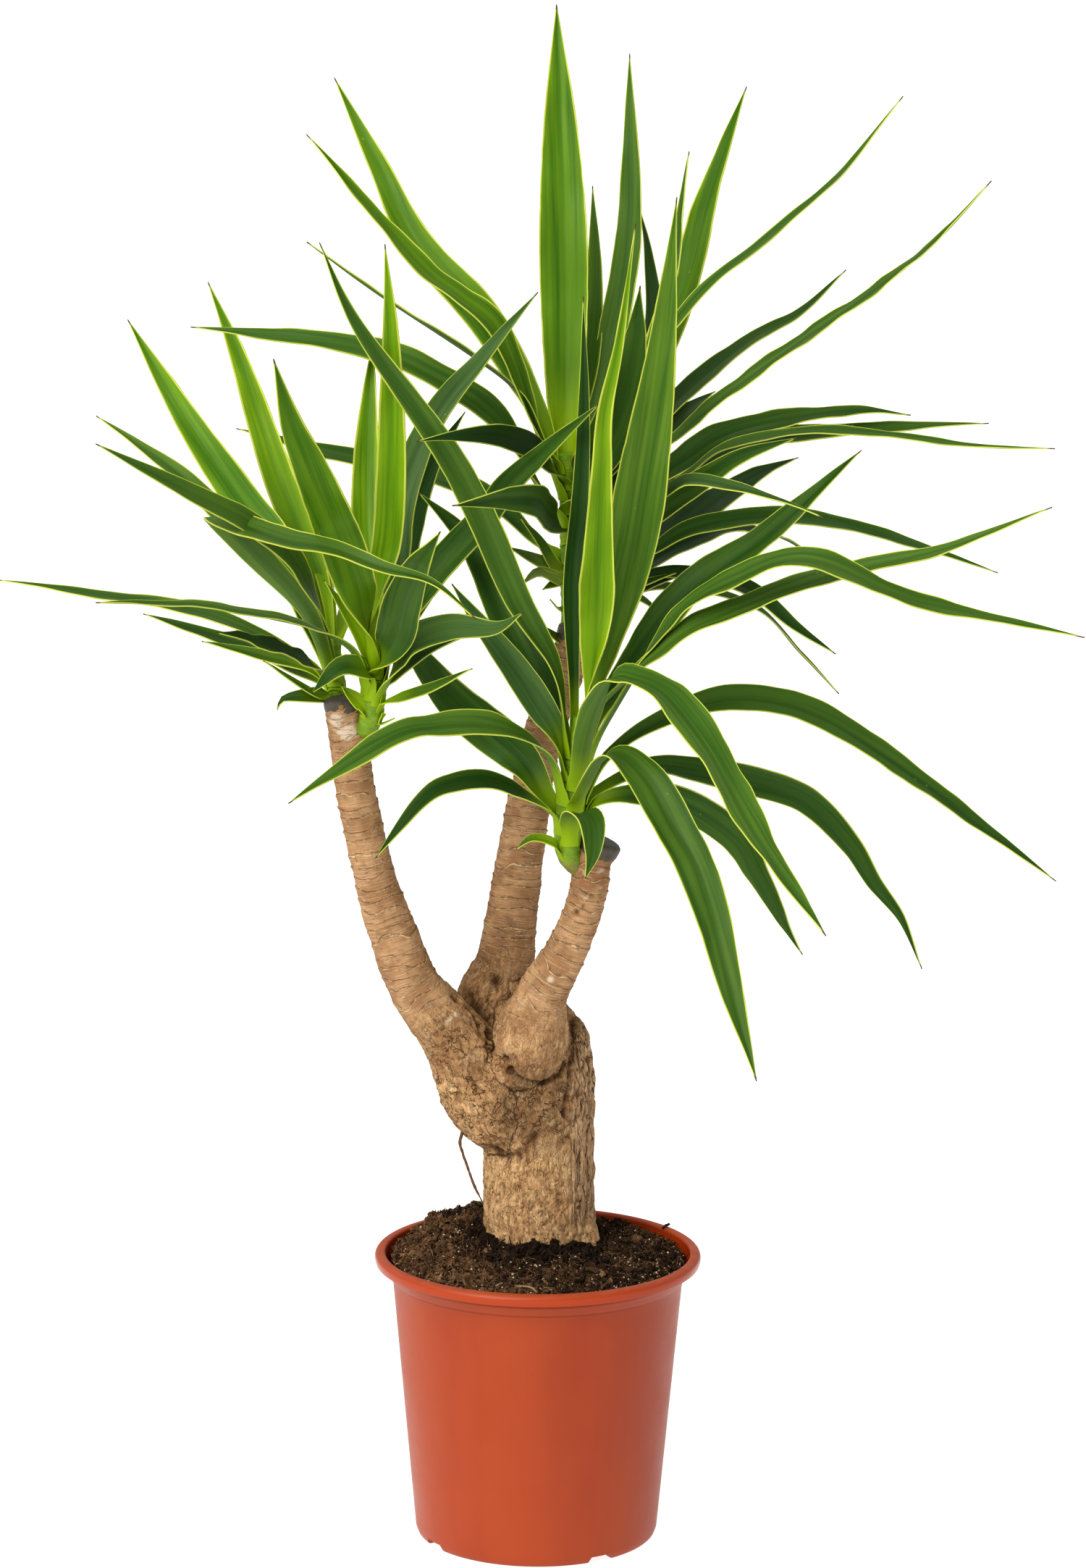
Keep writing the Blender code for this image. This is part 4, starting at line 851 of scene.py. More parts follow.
def makePotPlastic():
    f = potFinish
    material, shader, wires = newMaterial("potPlastic", f["roughness"], Specular_IOR_Level=0.36)
    here = wires.place()
    clouds = wires.blotches(here, 9.0, 0.28)
    colour = wires.mix(wires.patches(here, (14, 14, 3), 0.35, 0.7, 4, 0.55), f["colour"], f["deep"])
    colour = wires.coat(colour, f["pale"], clouds, 0.25)
    rare = wires.patches(here, 60.0, 0.56, 0.68)
    colour = wires.coat(colour, f["dust"], wires.fall(wires.cells(here, 420.0), 0.05, 0.13), rare, 0.5)
    height = wires.add("SeparateXYZ", {"Vector": here}, 2)
    # the rim's top is dusty and matt, and its paler colour is also a painted highlight
    rimTopDustAndHighlight = wires.rise(height, 0.2115, 0.2138)  # dusty and matt
    uneven = wires.rise(wires.noise(here, 130.0, 4, 0.6), 0.3, 0.65, 0.25, 0.75)
    colour = wires.coat(colour, f["pale"], rimTopDustAndHighlight, uneven)
    # the lip is glossier, and its brighter orange is a painted highlight
    lipGlossAndHighlight = wires.rise(height, lipFoot + 0.001, lipFoot + 0.0025)
    lipGlossAndHighlight = wires.times(lipGlossAndHighlight, wires.fall(height, 0.2105, 0.2125))
    colour = wires.coat(colour, f["lip"], lipGlossAndHighlight, 0.7)
    # painted shade in the corner under the lip, and a finer painted shadow line along the shoulder
    corner = wires.rise(height, lipFoot - 0.0030, lipFoot - 0.0008)
    corner = wires.times(corner, wires.fall(height, lipFoot + 0.0002, lipFoot + 0.0008))
    shoulderShade = wires.near(height, shoulder - 0.0008, 0.0002, 0.0009)
    colour = wires.coat(colour, f["shadow"], wires.most(wires.times(corner, 0.55), wires.times(shoulderShade, 0.28)))
    rough = wires.rise(clouds, 0.0, 1.0, f["roughness"] - 0.04, f["roughness"] + 0.08)
    scuffs = wires.patches(here, (60, 60, 900), 0.55, 0.75, 3, 0.6)
    rough = wires.less(wires.plus(rough, wires.times(scuffs, 0.06)), wires.times(lipGlossAndHighlight, 0.17))
    wires.put(shader.inputs["Roughness"], wires.plus(rough, wires.times(rimTopDustAndHighlight, 0.14)))
    grain = wires.group(relief, Vector=here, Scale=700.0, Pits=0.15)
    ripples = wires.noise(here, (26, 26, 34), 2, 0.4)
    surface = wires.plus(wires.times(grain, 0.12), wires.times(ripples, 1.6))
    wires.finish(shader, colour, surface, 0.0012, 0.28)
    return material


def innerRadius(height):
    p = potShape
    share = (height - p["chamfer"]) / (shoulder - p["chamfer"])
    return p["wallFoot"] + (p["wallTop"] - p["wallFoot"]) * share - p["wall"]


def stepped(radius, height, *steps):
    return [(radius + across, height + up) for across, up in steps]


def rounded(radius, top, size, inward, angles):
    turns = [math.radians(angle) for angle in angles]
    return [(radius + inward * size * (1 - math.cos(a)), top - size * (1 - math.sin(a))) for a in turns]


def potProfile():
    # from the middle of the floor up the inside, over the lip and down the outside to the centre pad
    p = potShape
    rim, top, wallTop = p["rim"], p["height"], p["wallTop"]
    foot, pad, lift = p["foot"], p["pad"], p["lift"]
    floorTop = lift + p["floor"]
    corner, inner, ringInside = floorTop + 0.004, rim - p["lipWidth"], foot - p["ring"]
    points = [(0, p["floor"]), (pad - p["floor"], p["floor"]), (pad + 0.003, floorTop)]
    points += stepped(innerRadius(corner), corner, (-0.004, -0.004), (-0.0012, -0.0028), (0, 0))
    points += [(innerRadius(height), height) for height in (0.06, 0.11, 0.155, 0.18, shoulder)]
    points += [(inner - 0.0005, lipFoot + 0.002), (inner - 0.0002, top - 0.0035)]
    points += rounded(inner, top, 0.0022, 1, (0, 22, 45, 67, 90))
    points += rounded(rim, top - 0.0002, p["lipRound"], -1, (90, 75, 60, 45, 30, 15, 0))
    points += stepped(rim, lipFoot, (-0.0002, 0.0032), (-0.0008, 0.0014), (-0.0022, 0.0003))
    points += stepped(rim, lipFoot, (-0.0042, -0.0003))
    points += stepped(wallTop, lipFoot, (0.0062, -0.0012), (0.0044, -0.0032))
    points += stepped(wallTop, shoulder, (0.0030, 0.0028), (0.0020, 0.0008), (0.0012, -0.0001))
    points += stepped(wallTop, shoulder, (0.0002, -0.0006), (-0.0003, -0.002))
    for share in (0.06, 0.25, 0.5, 0.75, 0.97, 1):
        radius = wallTop - 0.0001
        radius += (p["wallFoot"] - radius) * share
        points.append((radius, shoulder + (p["chamfer"] - shoulder) * share))
    points += stepped(foot, 0, (0.0016, 0.0012), (0.0006, 0.0003), (-0.0006, 0))
    points += [(ringInside, 0), (ringInside - 0.001, lift), (pad + lift, lift), (pad, 0), (0, 0)]
    return points


def spinProfile(points, steps):
    # a single point is drawn out along the profile, then spun about the upright axis
    deselectAll()
    bpy.ops.mesh.primitive_plane_add(size=0.01)
    obj = bpy.context.object
    bpy.ops.object.mode_set(mode="EDIT")
    bpy.ops.mesh.select_all(action="SELECT")
    bpy.ops.mesh.merge(type="CENTER")
    bpy.ops.transform.translate(value=(points[0][0], 0, points[0][1]))
    for (fromRadius, fromHeight), (radius, height) in zip(points, points[1:]):
        move = (radius - fromRadius, 0, height - fromHeight)
        bpy.ops.mesh.extrude_region_move(TRANSFORM_OT_translate={"value": move})
    bpy.ops.mesh.select_all(action="SELECT")
    bpy.ops.mesh.spin(steps=steps, angle=math.tau, center=(0, 0, 0), axis=(0, 0, 1))
    bpy.ops.mesh.select_all(action="SELECT")
    bpy.ops.mesh.remove_doubles(threshold=2e-6)
    bpy.ops.mesh.dissolve_degenerate(threshold=1e-7)
    bpy.ops.mesh.normals_make_consistent(inside=False)
    bpy.ops.object.mode_set(mode="OBJECT")
    return obj


def cutWith(obj, cutter, place):
    cutter.matrix_world = place
    applyModifier(obj, "BOOLEAN", operation="DIFFERENCE", solver="EXACT", object=cutter)
    bpy.data.objects.remove(cutter)


def makePot():
    p = potShape
    pot = spinProfile(potProfile(), p["steps"])
    half = p["foot"] * math.tan(math.radians(p["notchAngle"] / 2))
    for bearing in p["notches"]:
        turn = Matrix.Rotation(math.radians(bearing - 90), 4, "Z")
        deselectAll()
        bpy.ops.mesh.primitive_cube_add(size=1)
        notch = bpy.context.object
        for vertex in notch.data.vertices:
            x, y, z = vertex.co
            along = half - p["notchSlant"] if z > 0 else half
            middle = p["foot"] - p["ring"] / 2
            vertex.co = (middle + x * 2 * p["ring"], y * 2 * along, p["notchHeight"] * (1 if z > 0 else -1))
        cutWith(pot, notch, turn)
        deselectAll()
        bpy.ops.mesh.primitive_cylinder_add(vertices=32, radius=p["drain"], depth=0.008)
        cutWith(pot, bpy.context.object, turn @ Matrix.Translation((p["drainRing"], 0, p["lift"] + 0.001)))
    finishPiece(pot, "pot", [makePotPlastic()], ["nursery_pot"], 32)


makePot()
print("pot ready")


soilShape = dict(
    level=0.2105, skirt=0.194, mound=0.0078, moundRadius=0.055, tilt=0.025, bump=0.0022, bumpSize=0.022,
    edgeDrop=0.0035, heap=(-0.052, 0.066), heapRadius=0.034, heapHeight=0.010, ring=0.0013, sides=300,
    stump=(-0.003, 0.025), stumpClear=0.041, reach=0.108, dryShare=0.06,
    crumbs=4700, clods=260, footClods=260, fibres=700, threads=1700, specks=1700, tufts=30, rearTufts=9,
)
soilFinish = dict(
    dry=(0.25, 0.134, 0.068), brown=(0.088, 0.044, 0.021), dark=(0.009, 0.006, 0.0045),
    crumb=(0.33, 0.19, 0.095), fibre=(0.30, 0.17, 0.08), fibreDark=(0.16, 0.085, 0.04),
    speck=(0.74, 0.64, 0.47), speckDark=(0.44, 0.30, 0.16), tuft=(0.05, 0.03, 0.018), roughness=0.95,
)


def soilHeight(x, y):
    # mounded round the stump, higher at the left and back, lower at its edge
    s = soilShape
    mound = s["mound"] * math.exp(-((math.hypot(x, y - s["stump"][1]) / s["moundRadius"] - 0.36) ** 2))
    mound *= 1 - 0.4 * smoothStep(0.015, 0.05, x)
    slope = s["tilt"] * (0.6 * y - 0.8 * x) * (0.6 + 0.4 * math.tanh(-x / 0.04))
    bumps = s["bump"] * noise.noise(Vector((x, y, 0)) / s["bumpSize"])
    edge = s["edgeDrop"] * max(0, (math.hypot(x, y) - 0.09) / 0.02)
    away = (x - s["heap"][0]) ** 2 + (y - s["heap"][1]) ** 2
    heap = s["heapHeight"] * math.exp(-(away / s["heapRadius"] ** 2))
    return s["level"] + mound + slope + bumps + heap - edge


def soilRelief(x, y):
    # lumps of peat over the plain height, calmer against the wall
    here = Vector((x, y, 0))
    lumps = abs(noise.noise(here / 0.011)) * 0.0070
    lumps += abs(noise.noise(here / 0.0045 + Vector((4, 2, 1)))) * 0.0042
    near, _ = noise.voronoi(here / 0.0065 + noise.noise_vector(here / 0.004) * 0.3)
    where = noise.noise(here / 0.03 + Vector((9, 9, 9)))
    clods = max(0, 0.55 - near[0]) * 0.0045 * smoothStep(-0.15, 0.35, where)
    edge = smoothStep(0.1095, 0.100, math.hypot(x, y))
    return (lumps + clods - 0.0024) * edge + noise.noise(here / 0.0016) * 0.0007


def soilTop(x, y, share=1):
    return soilHeight(x, y) + soilRelief(x, y) * share


def wetness(x, y):
    # the middle and front centre were watered and dug: nearly black
    close = smoothStep(0.078, 0.045, math.hypot(x, y - 0.018))
    front = smoothStep(0.070, 0.030, abs(x - 0.012))
    front *= smoothStep(-0.100, -0.055, y) * smoothStep(0.06, 0.02, y)
    patch = noise.noise(Vector((x, y, 0)) / 0.024 + Vector((2, 5, 8)))
    rightHand = smoothStep(0.0, 0.06, x)
    return min(max(max(close, front * 0.9, rightHand * 0.8) + patch * 0.6 - 0.06, 0), 1)


def makeSoilMatter():
    f = soilFinish
    material, shader, wires = newMaterial("pottingSoil", f["roughness"], Specular_IOR_Level=0.12)
    here = wires.place()
    colour = wires.mix(wires.blotches(here, 55.0, 0.2), f["brown"], f["dry"])
    colour = wires.coat(colour, f["dark"], wires.blotches(here, 420.0, 0.14), 0.85)
    colour = wires.coat(colour, f["crumb"], wires.attribute("soilTone"), 0.8)
    hairs = wires.noise(here, (900, 220, 900), 3, 0.6, 2.5)
    colour = wires.coat(colour, f["fibre"], wires.rise(hairs, 0.58, 0.68, 0.0, 0.6))
    # darker where damp, and painted shade in the bed's pits
    colour = wires.coat(colour, f["dark"], wires.attribute("soilWet"), 0.88)
    rare = wires.patches(here, 210.0, 0.60, 0.68)
    colour = wires.coat(colour, f["speck"], wires.fall(wires.cells(here, 560.0), 0.06, 0.12), rare)
    wires.finish(shader, colour, wires.group(relief, Vector=here, Scale=520.0, Pits=0.6), 0.0018)
    return material


def plainMatter(name, colour, second, scale, roughness):
    # two tones in blotches, with a fine grain
    material, shader, wires = newMaterial(name, roughness, Specular_IOR_Level=0.25)
    here = wires.place()
    grain = wires.group(relief, Vector=here, Scale=scale * 3.0, Pits=0.4)
    wires.finish(shader, wires.mix(wires.blotches(here, scale, 0.25), colour, second), grain, 0.0004, 0.7)
    return material


def makeSoilBed():
    s = soilShape
    deselectAll()
    wall = innerRadius(s["skirt"]) - 0.0005
    outer = innerRadius(s["level"] - 0.009) + 0.0012
    place = (0, 0, s["level"])
    bpy.ops.mesh.primitive_circle_add(vertices=s["sides"], radius=outer, fill_type="NGON", location=place)
    bed = bpy.context.object
    bpy.ops.object.transform_apply(location=True)
    bpy.ops.object.mode_set(mode="EDIT")
    bpy.ops.mesh.select_all(action="SELECT")
    for _ in range(int((outer - 0.012) / s["ring"])):
        bpy.ops.mesh.inset(thickness=s["ring"], depth=0)
    bpy.ops.mesh.poke()
    bpy.ops.mesh.select_all(action="DESELECT")
    bpy.ops.mesh.select_non_manifold(extend=False)
    bpy.ops.mesh.extrude_edges_move(TRANSFORM_OT_translate={"value": (0, 0, s["skirt"] - s["level"])})
    bpy.ops.transform.resize(value=(wall / outer, wall / outer, 1))
    bpy.ops.mesh.edge_face_add()
    bpy.ops.mesh.select_all(action="SELECT")
    bpy.ops.mesh.normals_make_consistent(inside=False)
    bpy.ops.object.mode_set(mode="OBJECT")
    dampAndShade, tone = [], []
    for vertex in bed.data.vertices:
        x, y, z = vertex.co
        if z > s["level"] - 0.001:
            vertex.co.z = soilTop(x, y)
        # darker where damp, and painted shade in the pits between the lumps
        dampAndShade.append(max(wetness(x, y), smoothStep(0.0011, -0.0006, soilRelief(x, y))))
        tone.append(smoothStep(0.0, 0.5, noise.noise(Vector((x, y, 3)) / 0.02)) * smoothStep(0.03, -0.05, x))
    setNumbers(bed.data, soilWet=dampAndShade, soilTone=tone)
    finishPiece(bed, "soilBed", [soilMatter], ["potting_soil"], 50)


def soilSpot(chance):
    # a random place on the soil, clear of the stump
    reach, (stumpX, stumpY) = soilShape["reach"], soilShape["stump"]
    while True:
        x, y = chance.uniform(-reach, reach), chance.uniform(-reach, reach)
        if math.hypot(x, y) < reach and math.hypot(x - stumpX, y - stumpY) > soilShape["stumpClear"]:
            return x, y


def gather(name, parts, material, angle):
    # one piece of many small parts, each as its points, its faces and, for soil, how wet and how pale it is
    points, faces, looks = [], [], []
    for corners, sides, *look in parts:
        faces += [tuple(index + len(points) for index in side) for side in sides]
        points += corners
        looks += [look] * len(corners)
    mesh = bpy.data.meshes.new(name)
    mesh.from_pydata(points, [], faces)
    mesh.update()
    obj = bpy.data.objects.new(name, mesh)
    bpy.context.collection.objects.link(obj)
    if looks[0]:
        dampAndShade, tone = zip(*looks)
        setNumbers(mesh, soilWet=dampAndShade, soilTone=tone)
    finishPiece(obj, name, [material], (), angle)


def scattered(chance):
    return Vector((chance.gauss(0, 1), chance.gauss(0, 1), chance.gauss(0, 1)))


def makeCrumbs(name, kinds, detail):
    # one rough crumb is made, then copied all over with its own size, turn and dents
    s = soilShape
    deselectAll()
    bpy.ops.mesh.primitive_ico_sphere_add(subdivisions=detail, radius=1)
    pattern = bpy.context.object
    shape = [vertex.co.copy() for vertex in pattern.data.vertices]
    sides = [tuple(polygon.vertices) for polygon in pattern.data.polygons]
    bpy.data.objects.remove(pattern)
    chance = random.Random(name)
    parts = []
    for number, kind in enumerate(kind for kind in kinds for _ in range(s[kind])):
        atFoot = kind == "footClods"
        x, y = soilSpot(chance)
        size = 0.0006 + 0.0019 * chance.random() ** 2.4
        if kind == "clods":
            size = 0.0018 + 0.0026 * chance.random() ** 1.6
        if atFoot:
            bearing, away = chance.gauss(-1.4, 0.75), 0.0415 + abs(chance.gauss(0, 0.006))
            x, y = s["stump"][0] + 0.004 + math.cos(bearing) * away, s["stump"][1] + math.sin(bearing) * away
            size = chance.uniform(0.0014, 0.0034)
        if math.hypot(x, y) > 0.104:
            size *= 0.6
        spin = Matrix.Rotation(chance.uniform(0, 6.3), 3, scattered(chance).normalized())
        squeeze = Vector((chance.uniform(0.7, 1.7), chance.uniform(0.6, 1.1), chance.uniform(0.5, 0.9)))
        lift = soilTop(x, y) + size * chance.uniform(-0.3, 0.5)
        if atFoot:
            lift += chance.random() ** 1.5 * 0.004
        corners = []
        for corner in shape:
            dent = 1 + 0.8 * noise.noise(corner * 1.7 + Vector((number, 0, 0)))
            corners.append(Vector((x, y, lift)) + spin @ (corner * squeeze) * (size * dent))
        damp = 1 if atFoot else wetness(x, y) * chance.uniform(0.5, 1.15) + chance.random() ** 2.2
        shade = chance.random() ** 1.6 * (0.45 + 0.55 * smoothStep(0.04, -0.06, x))
        if not atFoot and chance.random() < s["dryShare"]:
            damp, shade = damp * 0.2, chance.uniform(0.55, 1.1)
        parts.append((corners, sides, min(damp, 1), shade))
    gather(name, parts, soilMatter, 30)


def makeHair(route, radius, sides=4):
    # points and faces of one thin strand that tapers to both ends
    points, faces = [], []
    last = len(route) - 1
    for i, place in enumerate(route):
        ahead = (route[min(i + 1, last)] - route[max(i - 1, 0)]).normalized()
        flat = ahead.cross(Vector((0.1, 0.2, 1))).normalized()
        up = flat.cross(ahead)
        girth = radius * (0.35 + 0.65 * math.sin(math.pi * min(max((i + 0.6) / (last + 1.2), 0), 1)))
        for k in range(sides):
            angle = math.tau * k / sides
            points.append(place + flat * math.cos(angle) * girth + up * math.sin(angle) * girth)
        for k in range(sides if i else 0):
            low, beside = (i - 1) * sides, (k + 1) % sides
            faces.append((low + k, low + beside, low + sides + beside, low + sides + k))
    faces += [tuple(range(sides - 1, -1, -1)), tuple(range(last * sides, (last + 1) * sides))]
    return points, faces


def makeFibres(name, count, reach, girth, material):
    chance = random.Random(name)
    parts = []
    for _ in range(count):
        x, y = soilSpot(chance)
        damp = wetness(x, y) * chance.uniform(0.3, 1.0)
        shade = chance.random() * (0.3 + 0.7 * smoothStep(0.04, -0.06, x))
        heading, length = chance.uniform(0, 6.3), chance.uniform(*reach)
        lift = chance.uniform(0.0002, 0.0016)
        route = []
        for step in range(6):
            route.append(Vector((x, y, soilTop(x, y, 0.8) + lift * (1 + step * chance.uniform(-0.2, 0.5)))))
            heading += chance.uniform(-0.5, 0.5)
            x += math.cos(heading) * length / 5
            y += math.sin(heading) * length / 5
        if math.hypot(x, y) <= 0.109:
            parts.append((*makeHair(route, chance.uniform(*girth)), damp, shade))
    gather(name, parts, material, 60)


def makeSpecks():
    chance = random.Random("specks")
    corners = [(1, 0, 0), (-1, 0, 0), (0, 1, 0), (0, -1, 0), (0, 0, 1), (0, 0, -1)]
    sides = [(0, 2, 4), (2, 1, 4), (1, 3, 4), (3, 0, 4), (2, 0, 5), (1, 2, 5), (3, 1, 5), (0, 3, 5)]
    parts = []
    for _ in range(soilShape["specks"]):
        x, y = soilSpot(chance)
        if chance.random() < 0.5 and x < -0.02:
            continue
        size = chance.uniform(0.0003, 0.0012)
        middle = Vector((x, y, soilTop(x, y) + size * 0.3))
        points = [Vector(corner) * size * chance.uniform(0.6, 1.2) + middle for corner in corners]
        parts.append((points, sides))
    matter = plainMatter("gritSpeck", soilFinish["speck"], soilFinish["speckDark"], 500.0, 0.7)
    gather("soilSpecks", parts, matter, 30)


def makeTufts():
    # feathery black peat: along the back edge at the left, and heaped at the stump's foot
    s, chance = soilShape, random.Random("tufts")
    spots = []
    for k in range(s["rearTufts"]):
        x = -0.074 + 0.0042 * k + chance.uniform(-0.002, 0.002)
        spots.append((x, 0.062 + chance.uniform(-0.008, 0.012), 0.0042))
    for _ in range(s["tufts"]):
        spots.append((chance.uniform(-0.038, 0.048), -0.018 + chance.uniform(-0.012, 0.008), 0.007))
    parts = []
    for x, y, tall in spots:
        base = Vector((x, y, soilHeight(x, y) + 0.001))
        for _ in range(11):
            lean = Vector((chance.gauss(0, 0.6), chance.gauss(0, 0.6), chance.uniform(0.3, 1.1))).normalized()
            curl = Vector((chance.uniform(-0.7, 0.7), chance.uniform(-0.7, 0.7), chance.uniform(-0.6, 0.4)))
            reach = tall * chance.uniform(0.35, 1.0)
            start = base + Vector((chance.gauss(0, 0.002), chance.gauss(0, 0.002), 0))
            route = []
            for step in range(5):
                along = step / 4
                route.append(start + (lean * along + curl * along**2) * reach + scattered(chance) * 0.0005)
            parts.append(makeHair(route, chance.uniform(0.0004, 0.0011)))
    matter = plainMatter("blackPeat", soilFinish["dark"], soilFinish["tuft"], 400.0, 0.95)
    gather("soilTufts", parts, matter, 60)


soilMatter = makeSoilMatter()
makeSoilBed()
makeCrumbs("soilCrumbs", ["crumbs"], 1)
makeCrumbs("soilClods", ["clods", "footClods"], 2)
peatFibre = plainMatter("peatFibre", soilFinish["fibre"], soilFinish["fibreDark"], 300.0, 0.85)
makeFibres("soilFibres", soilShape["fibres"], (0.004, 0.016), (0.00009, 0.00026), peatFibre)
makeFibres("soilThreads", soilShape["threads"], (0.003, 0.009), (0.00025, 0.0006), soilMatter)
makeSpecks()
makeTufts()
print("soil ready")


# the trunk's limbs as (right, back, up, radius) in cm, and the swellings that join them
trunkLimbs = {
    "stump": [
        (0.2, 2.5, 19.4, 4.4), (0.2, 2.5, 21.4, 4.2), (0.0, 2.5, 24.4, 4.05), (0.0, 2.5, 28.4, 4.05),
        (-0.1, 2.5, 32.4, 4.2),
        (0.0, 2.5, 34.9, 4.0), (-0.2, 2.5, 37.4, 3.3), (-0.5, 2.5, 39.2, 2.2),
    ],
    "left": [
        (-2.2, 1.6, 30.0, 2.2), (-3.1, 1.2, 31.4, 2.9), (-4.4, 0.8, 33.9, 3.1), (-5.95, 0.4, 37.0, 2.5),
        (-8.15, 0.1, 39.9, 2.1),
        (-9.25, 0, 41.5, 1.92), (-10.8, 0, 45.5, 1.75), (-12.1, 0, 49.7, 1.5), (-13.4, 0, 55.9, 1.42),
        (-14.2, 0, 62.2, 1.45),
    ],
    "back": [
        (-3.4, 3.6, 34.4, 2.7), (-3.7, 4.3, 38.8, 2.6), (-2.6, 4.8, 41.8, 2.15), (-2.1, 5, 45.3, 1.9),
        (-1.4, 5.2, 50.3, 1.7),
        (-0.5, 5.5, 55.9, 1.48), (0.4, 5.8, 59.6, 1.45), (1.6, 6, 63.2, 1.4), (2.6, 6.1, 66.4, 1.33),
    ],
    "front": [
        (-1.3, 0.2, 34.5, 1.8), (-0.9, -0.6, 36.6, 2.6), (-0.5, -1.2, 38.4, 2.6), (0, -1.8, 40.5, 2.0),
        (0.65, -2.2, 42.2, 1.75),
        (1.9, -2.7, 44.5, 1.5), (3.0, -3, 47.3, 1.38), (3.6, -3.1, 49.7, 1.36), (3.8, -3.1, 51.3, 1.33),
        (4.3, -3.2, 52.5, 1.33),
    ],
}
trunkSwellings = [
    (-4.5, 0.6, 31.6, 1.6, 1.8, 1.4), (-0.65, -1.3, 37.2, 2.65, 1.8, 2.2), (3.0, 1.2, 20.4, 1.8, 1.8, 3.7),
    (2.45, 1.7, 36.3, 1.3, 1.9, 2.3), (-5.2, 2.0, 37.2, 1.6, 1.8, 2.2), (-2.4, -1.2, 35.2, 1.3, 1.4, 1.5),
]
# creases pressed into the bark, each as points with their width and depth in cm
trunkCreases = [
    ([(-4.4, -0.4, 40.2), (-3.8, -1.2, 38.4), (-3.4, -1.7, 37.0)], 0.34, 0.30),
    ([
        (-2.2, -2.6, 35.6), (-1.5, -2.6, 35.0), (-0.6, -2.4, 34.6), (0.4, -2.2, 34.5), (1.4, -2.0, 34.9),
        (2.0, -1.6, 35.7),
    ], 0.20, 0.40),
    ([
        (-5.6, 0.2, 29.5), (-4.4, -0.6, 29.3), (-3.2, -1.2, 29.0), (-2.0, -1.7, 28.7), (-0.9, -1.9, 29.3),
        (-0.2, -2.0, 30.4),
    ], 0.34, 0.34),
    ([
        (2.4, -0.8, 41.0), (2.4, -0.6, 38.6), (2.5, -1.0, 36.4), (2.2, -1.5, 34.4), (1.9, -1.7, 32.0),
    ], 0.22, 0.34),
    ([(-2.5, -3.0, 35.9), (-1.7, -3.3, 35.4)], 0.22, 0.12),
    ([(-6.2, 1.4, 40.6), (-5.0, 2.4, 39.6), (-4.2, 2.2, 38.2)], 0.3, 0.35),
]
# raised torn bark: along the left limb's foot, and a chip on the front one
trunkRidges = [
    ([(-8.4, -1.6, 38.0), (-7.5, -2.05, 38.4), (-6.6, -2.1, 39.1), (-5.7, -1.5, 39.7)], 0.16, 0.16),
    ([(2.7, -4.0, 50.9), (3.6, -4.6, 50.5), (4.6, -4.3, 50.9)], 0.14, 0.13),
    ([(2.6, -3.9, 49.2), (3.4, -4.45, 48.9), (4.4, -4.2, 49.5)], 0.12, 0.11),
    ([(-0.4, -3.4, 33.0), (0.5, -3.2, 33.4), (1.3, -2.9, 33.2)], 0.3, 0.12),
    ([(-3.2, -2.4, 33.2), (-2.4, -2.7, 32.8), (-1.6, -2.6, 33.1)], 0.35, 0.12),
]
# holes, as right, back, up, radius and depth in cm
trunkHoles = [
    (-2.45, -2.2, 36.45, 0.27, 0.55), (-2.05, -2.4, 35.7, 0.24, 0.25), (2.67, -4.36, 47.8, 0.20, 0.10),
    (3.1, -4.45, 48.2, 0.12, 0.08), (-3.2, 2.4, 41.2, 0.4, 0.3),
]
# pale spots, as right, back, up and radius in cm
trunkSpots = [(0.75, -3.8, 42.7, 0.42), (-13.9, -1.3, 60.4, 0.8), (-14.6, -1.2, 61.0, 0.7)]
# two of the points below are the middles of a painted shade under the fork and of a painted highlight (glow)
# beside it
barkShape = dict(
    voxel=0.00143, stations=90, ring=0.86, ringHeight=0.085, ridge=0.21, plate=0.12, plateTilt=0.20,
    fissure=0.30, lump=0.13, grain=0.02, caneFrom=(99, 11.5, 8.0, 6.5), limbStep=(11.0, 7.0, 0.0),
    scar=(-2.3, -2.3, 36.1), forkShade=(-0.2, -1.6, 32.6), glow=(-5.0, -1.8, 33.6), torn=(3.6, -4.2, 50.4),
)
barkFinish = dict(
    foot=(0.72, 0.455, 0.225), footDeep=(0.56, 0.325, 0.150), middle=(0.66, 0.40, 0.195),
    middleDeep=(0.36, 0.196, 0.088), side=(0.60, 0.40, 0.235), sideDeep=(0.46, 0.295, 0.165),
    cane=(0.50, 0.302, 0.160), caneDeep=(0.33, 0.180, 0.088), shade=(0.31, 0.170, 0.080),
    shadeDeep=(0.18, 0.092, 0.043), crack=(0.105, 0.048, 0.020), straw=(0.78, 0.56, 0.31),
    pale=(0.70, 0.57, 0.43), torn=(0.25, 0.115, 0.05), damp=(0.05, 0.03, 0.017), roughness=0.86,
)


def trunkStations():
    # evenly spaced stations on each limb: its number, place, radius, distance along, and the way it runs
    stations = []
    last = barkShape["stations"] - 1
    for number, points in enumerate(trunkLimbs.values()):
        route = smoothRoute(points, last + 1)
        walked = 0.0
        for i, point in enumerate(route):
            ahead = (route[min(i + 1, last)] - route[max(i - 1, 0)]).xyz.normalized()
            if i:
                walked += (point - route[i - 1]).xyz.length
            stations.append((number, *point, walked, *ahead))
    return np.array(stations)


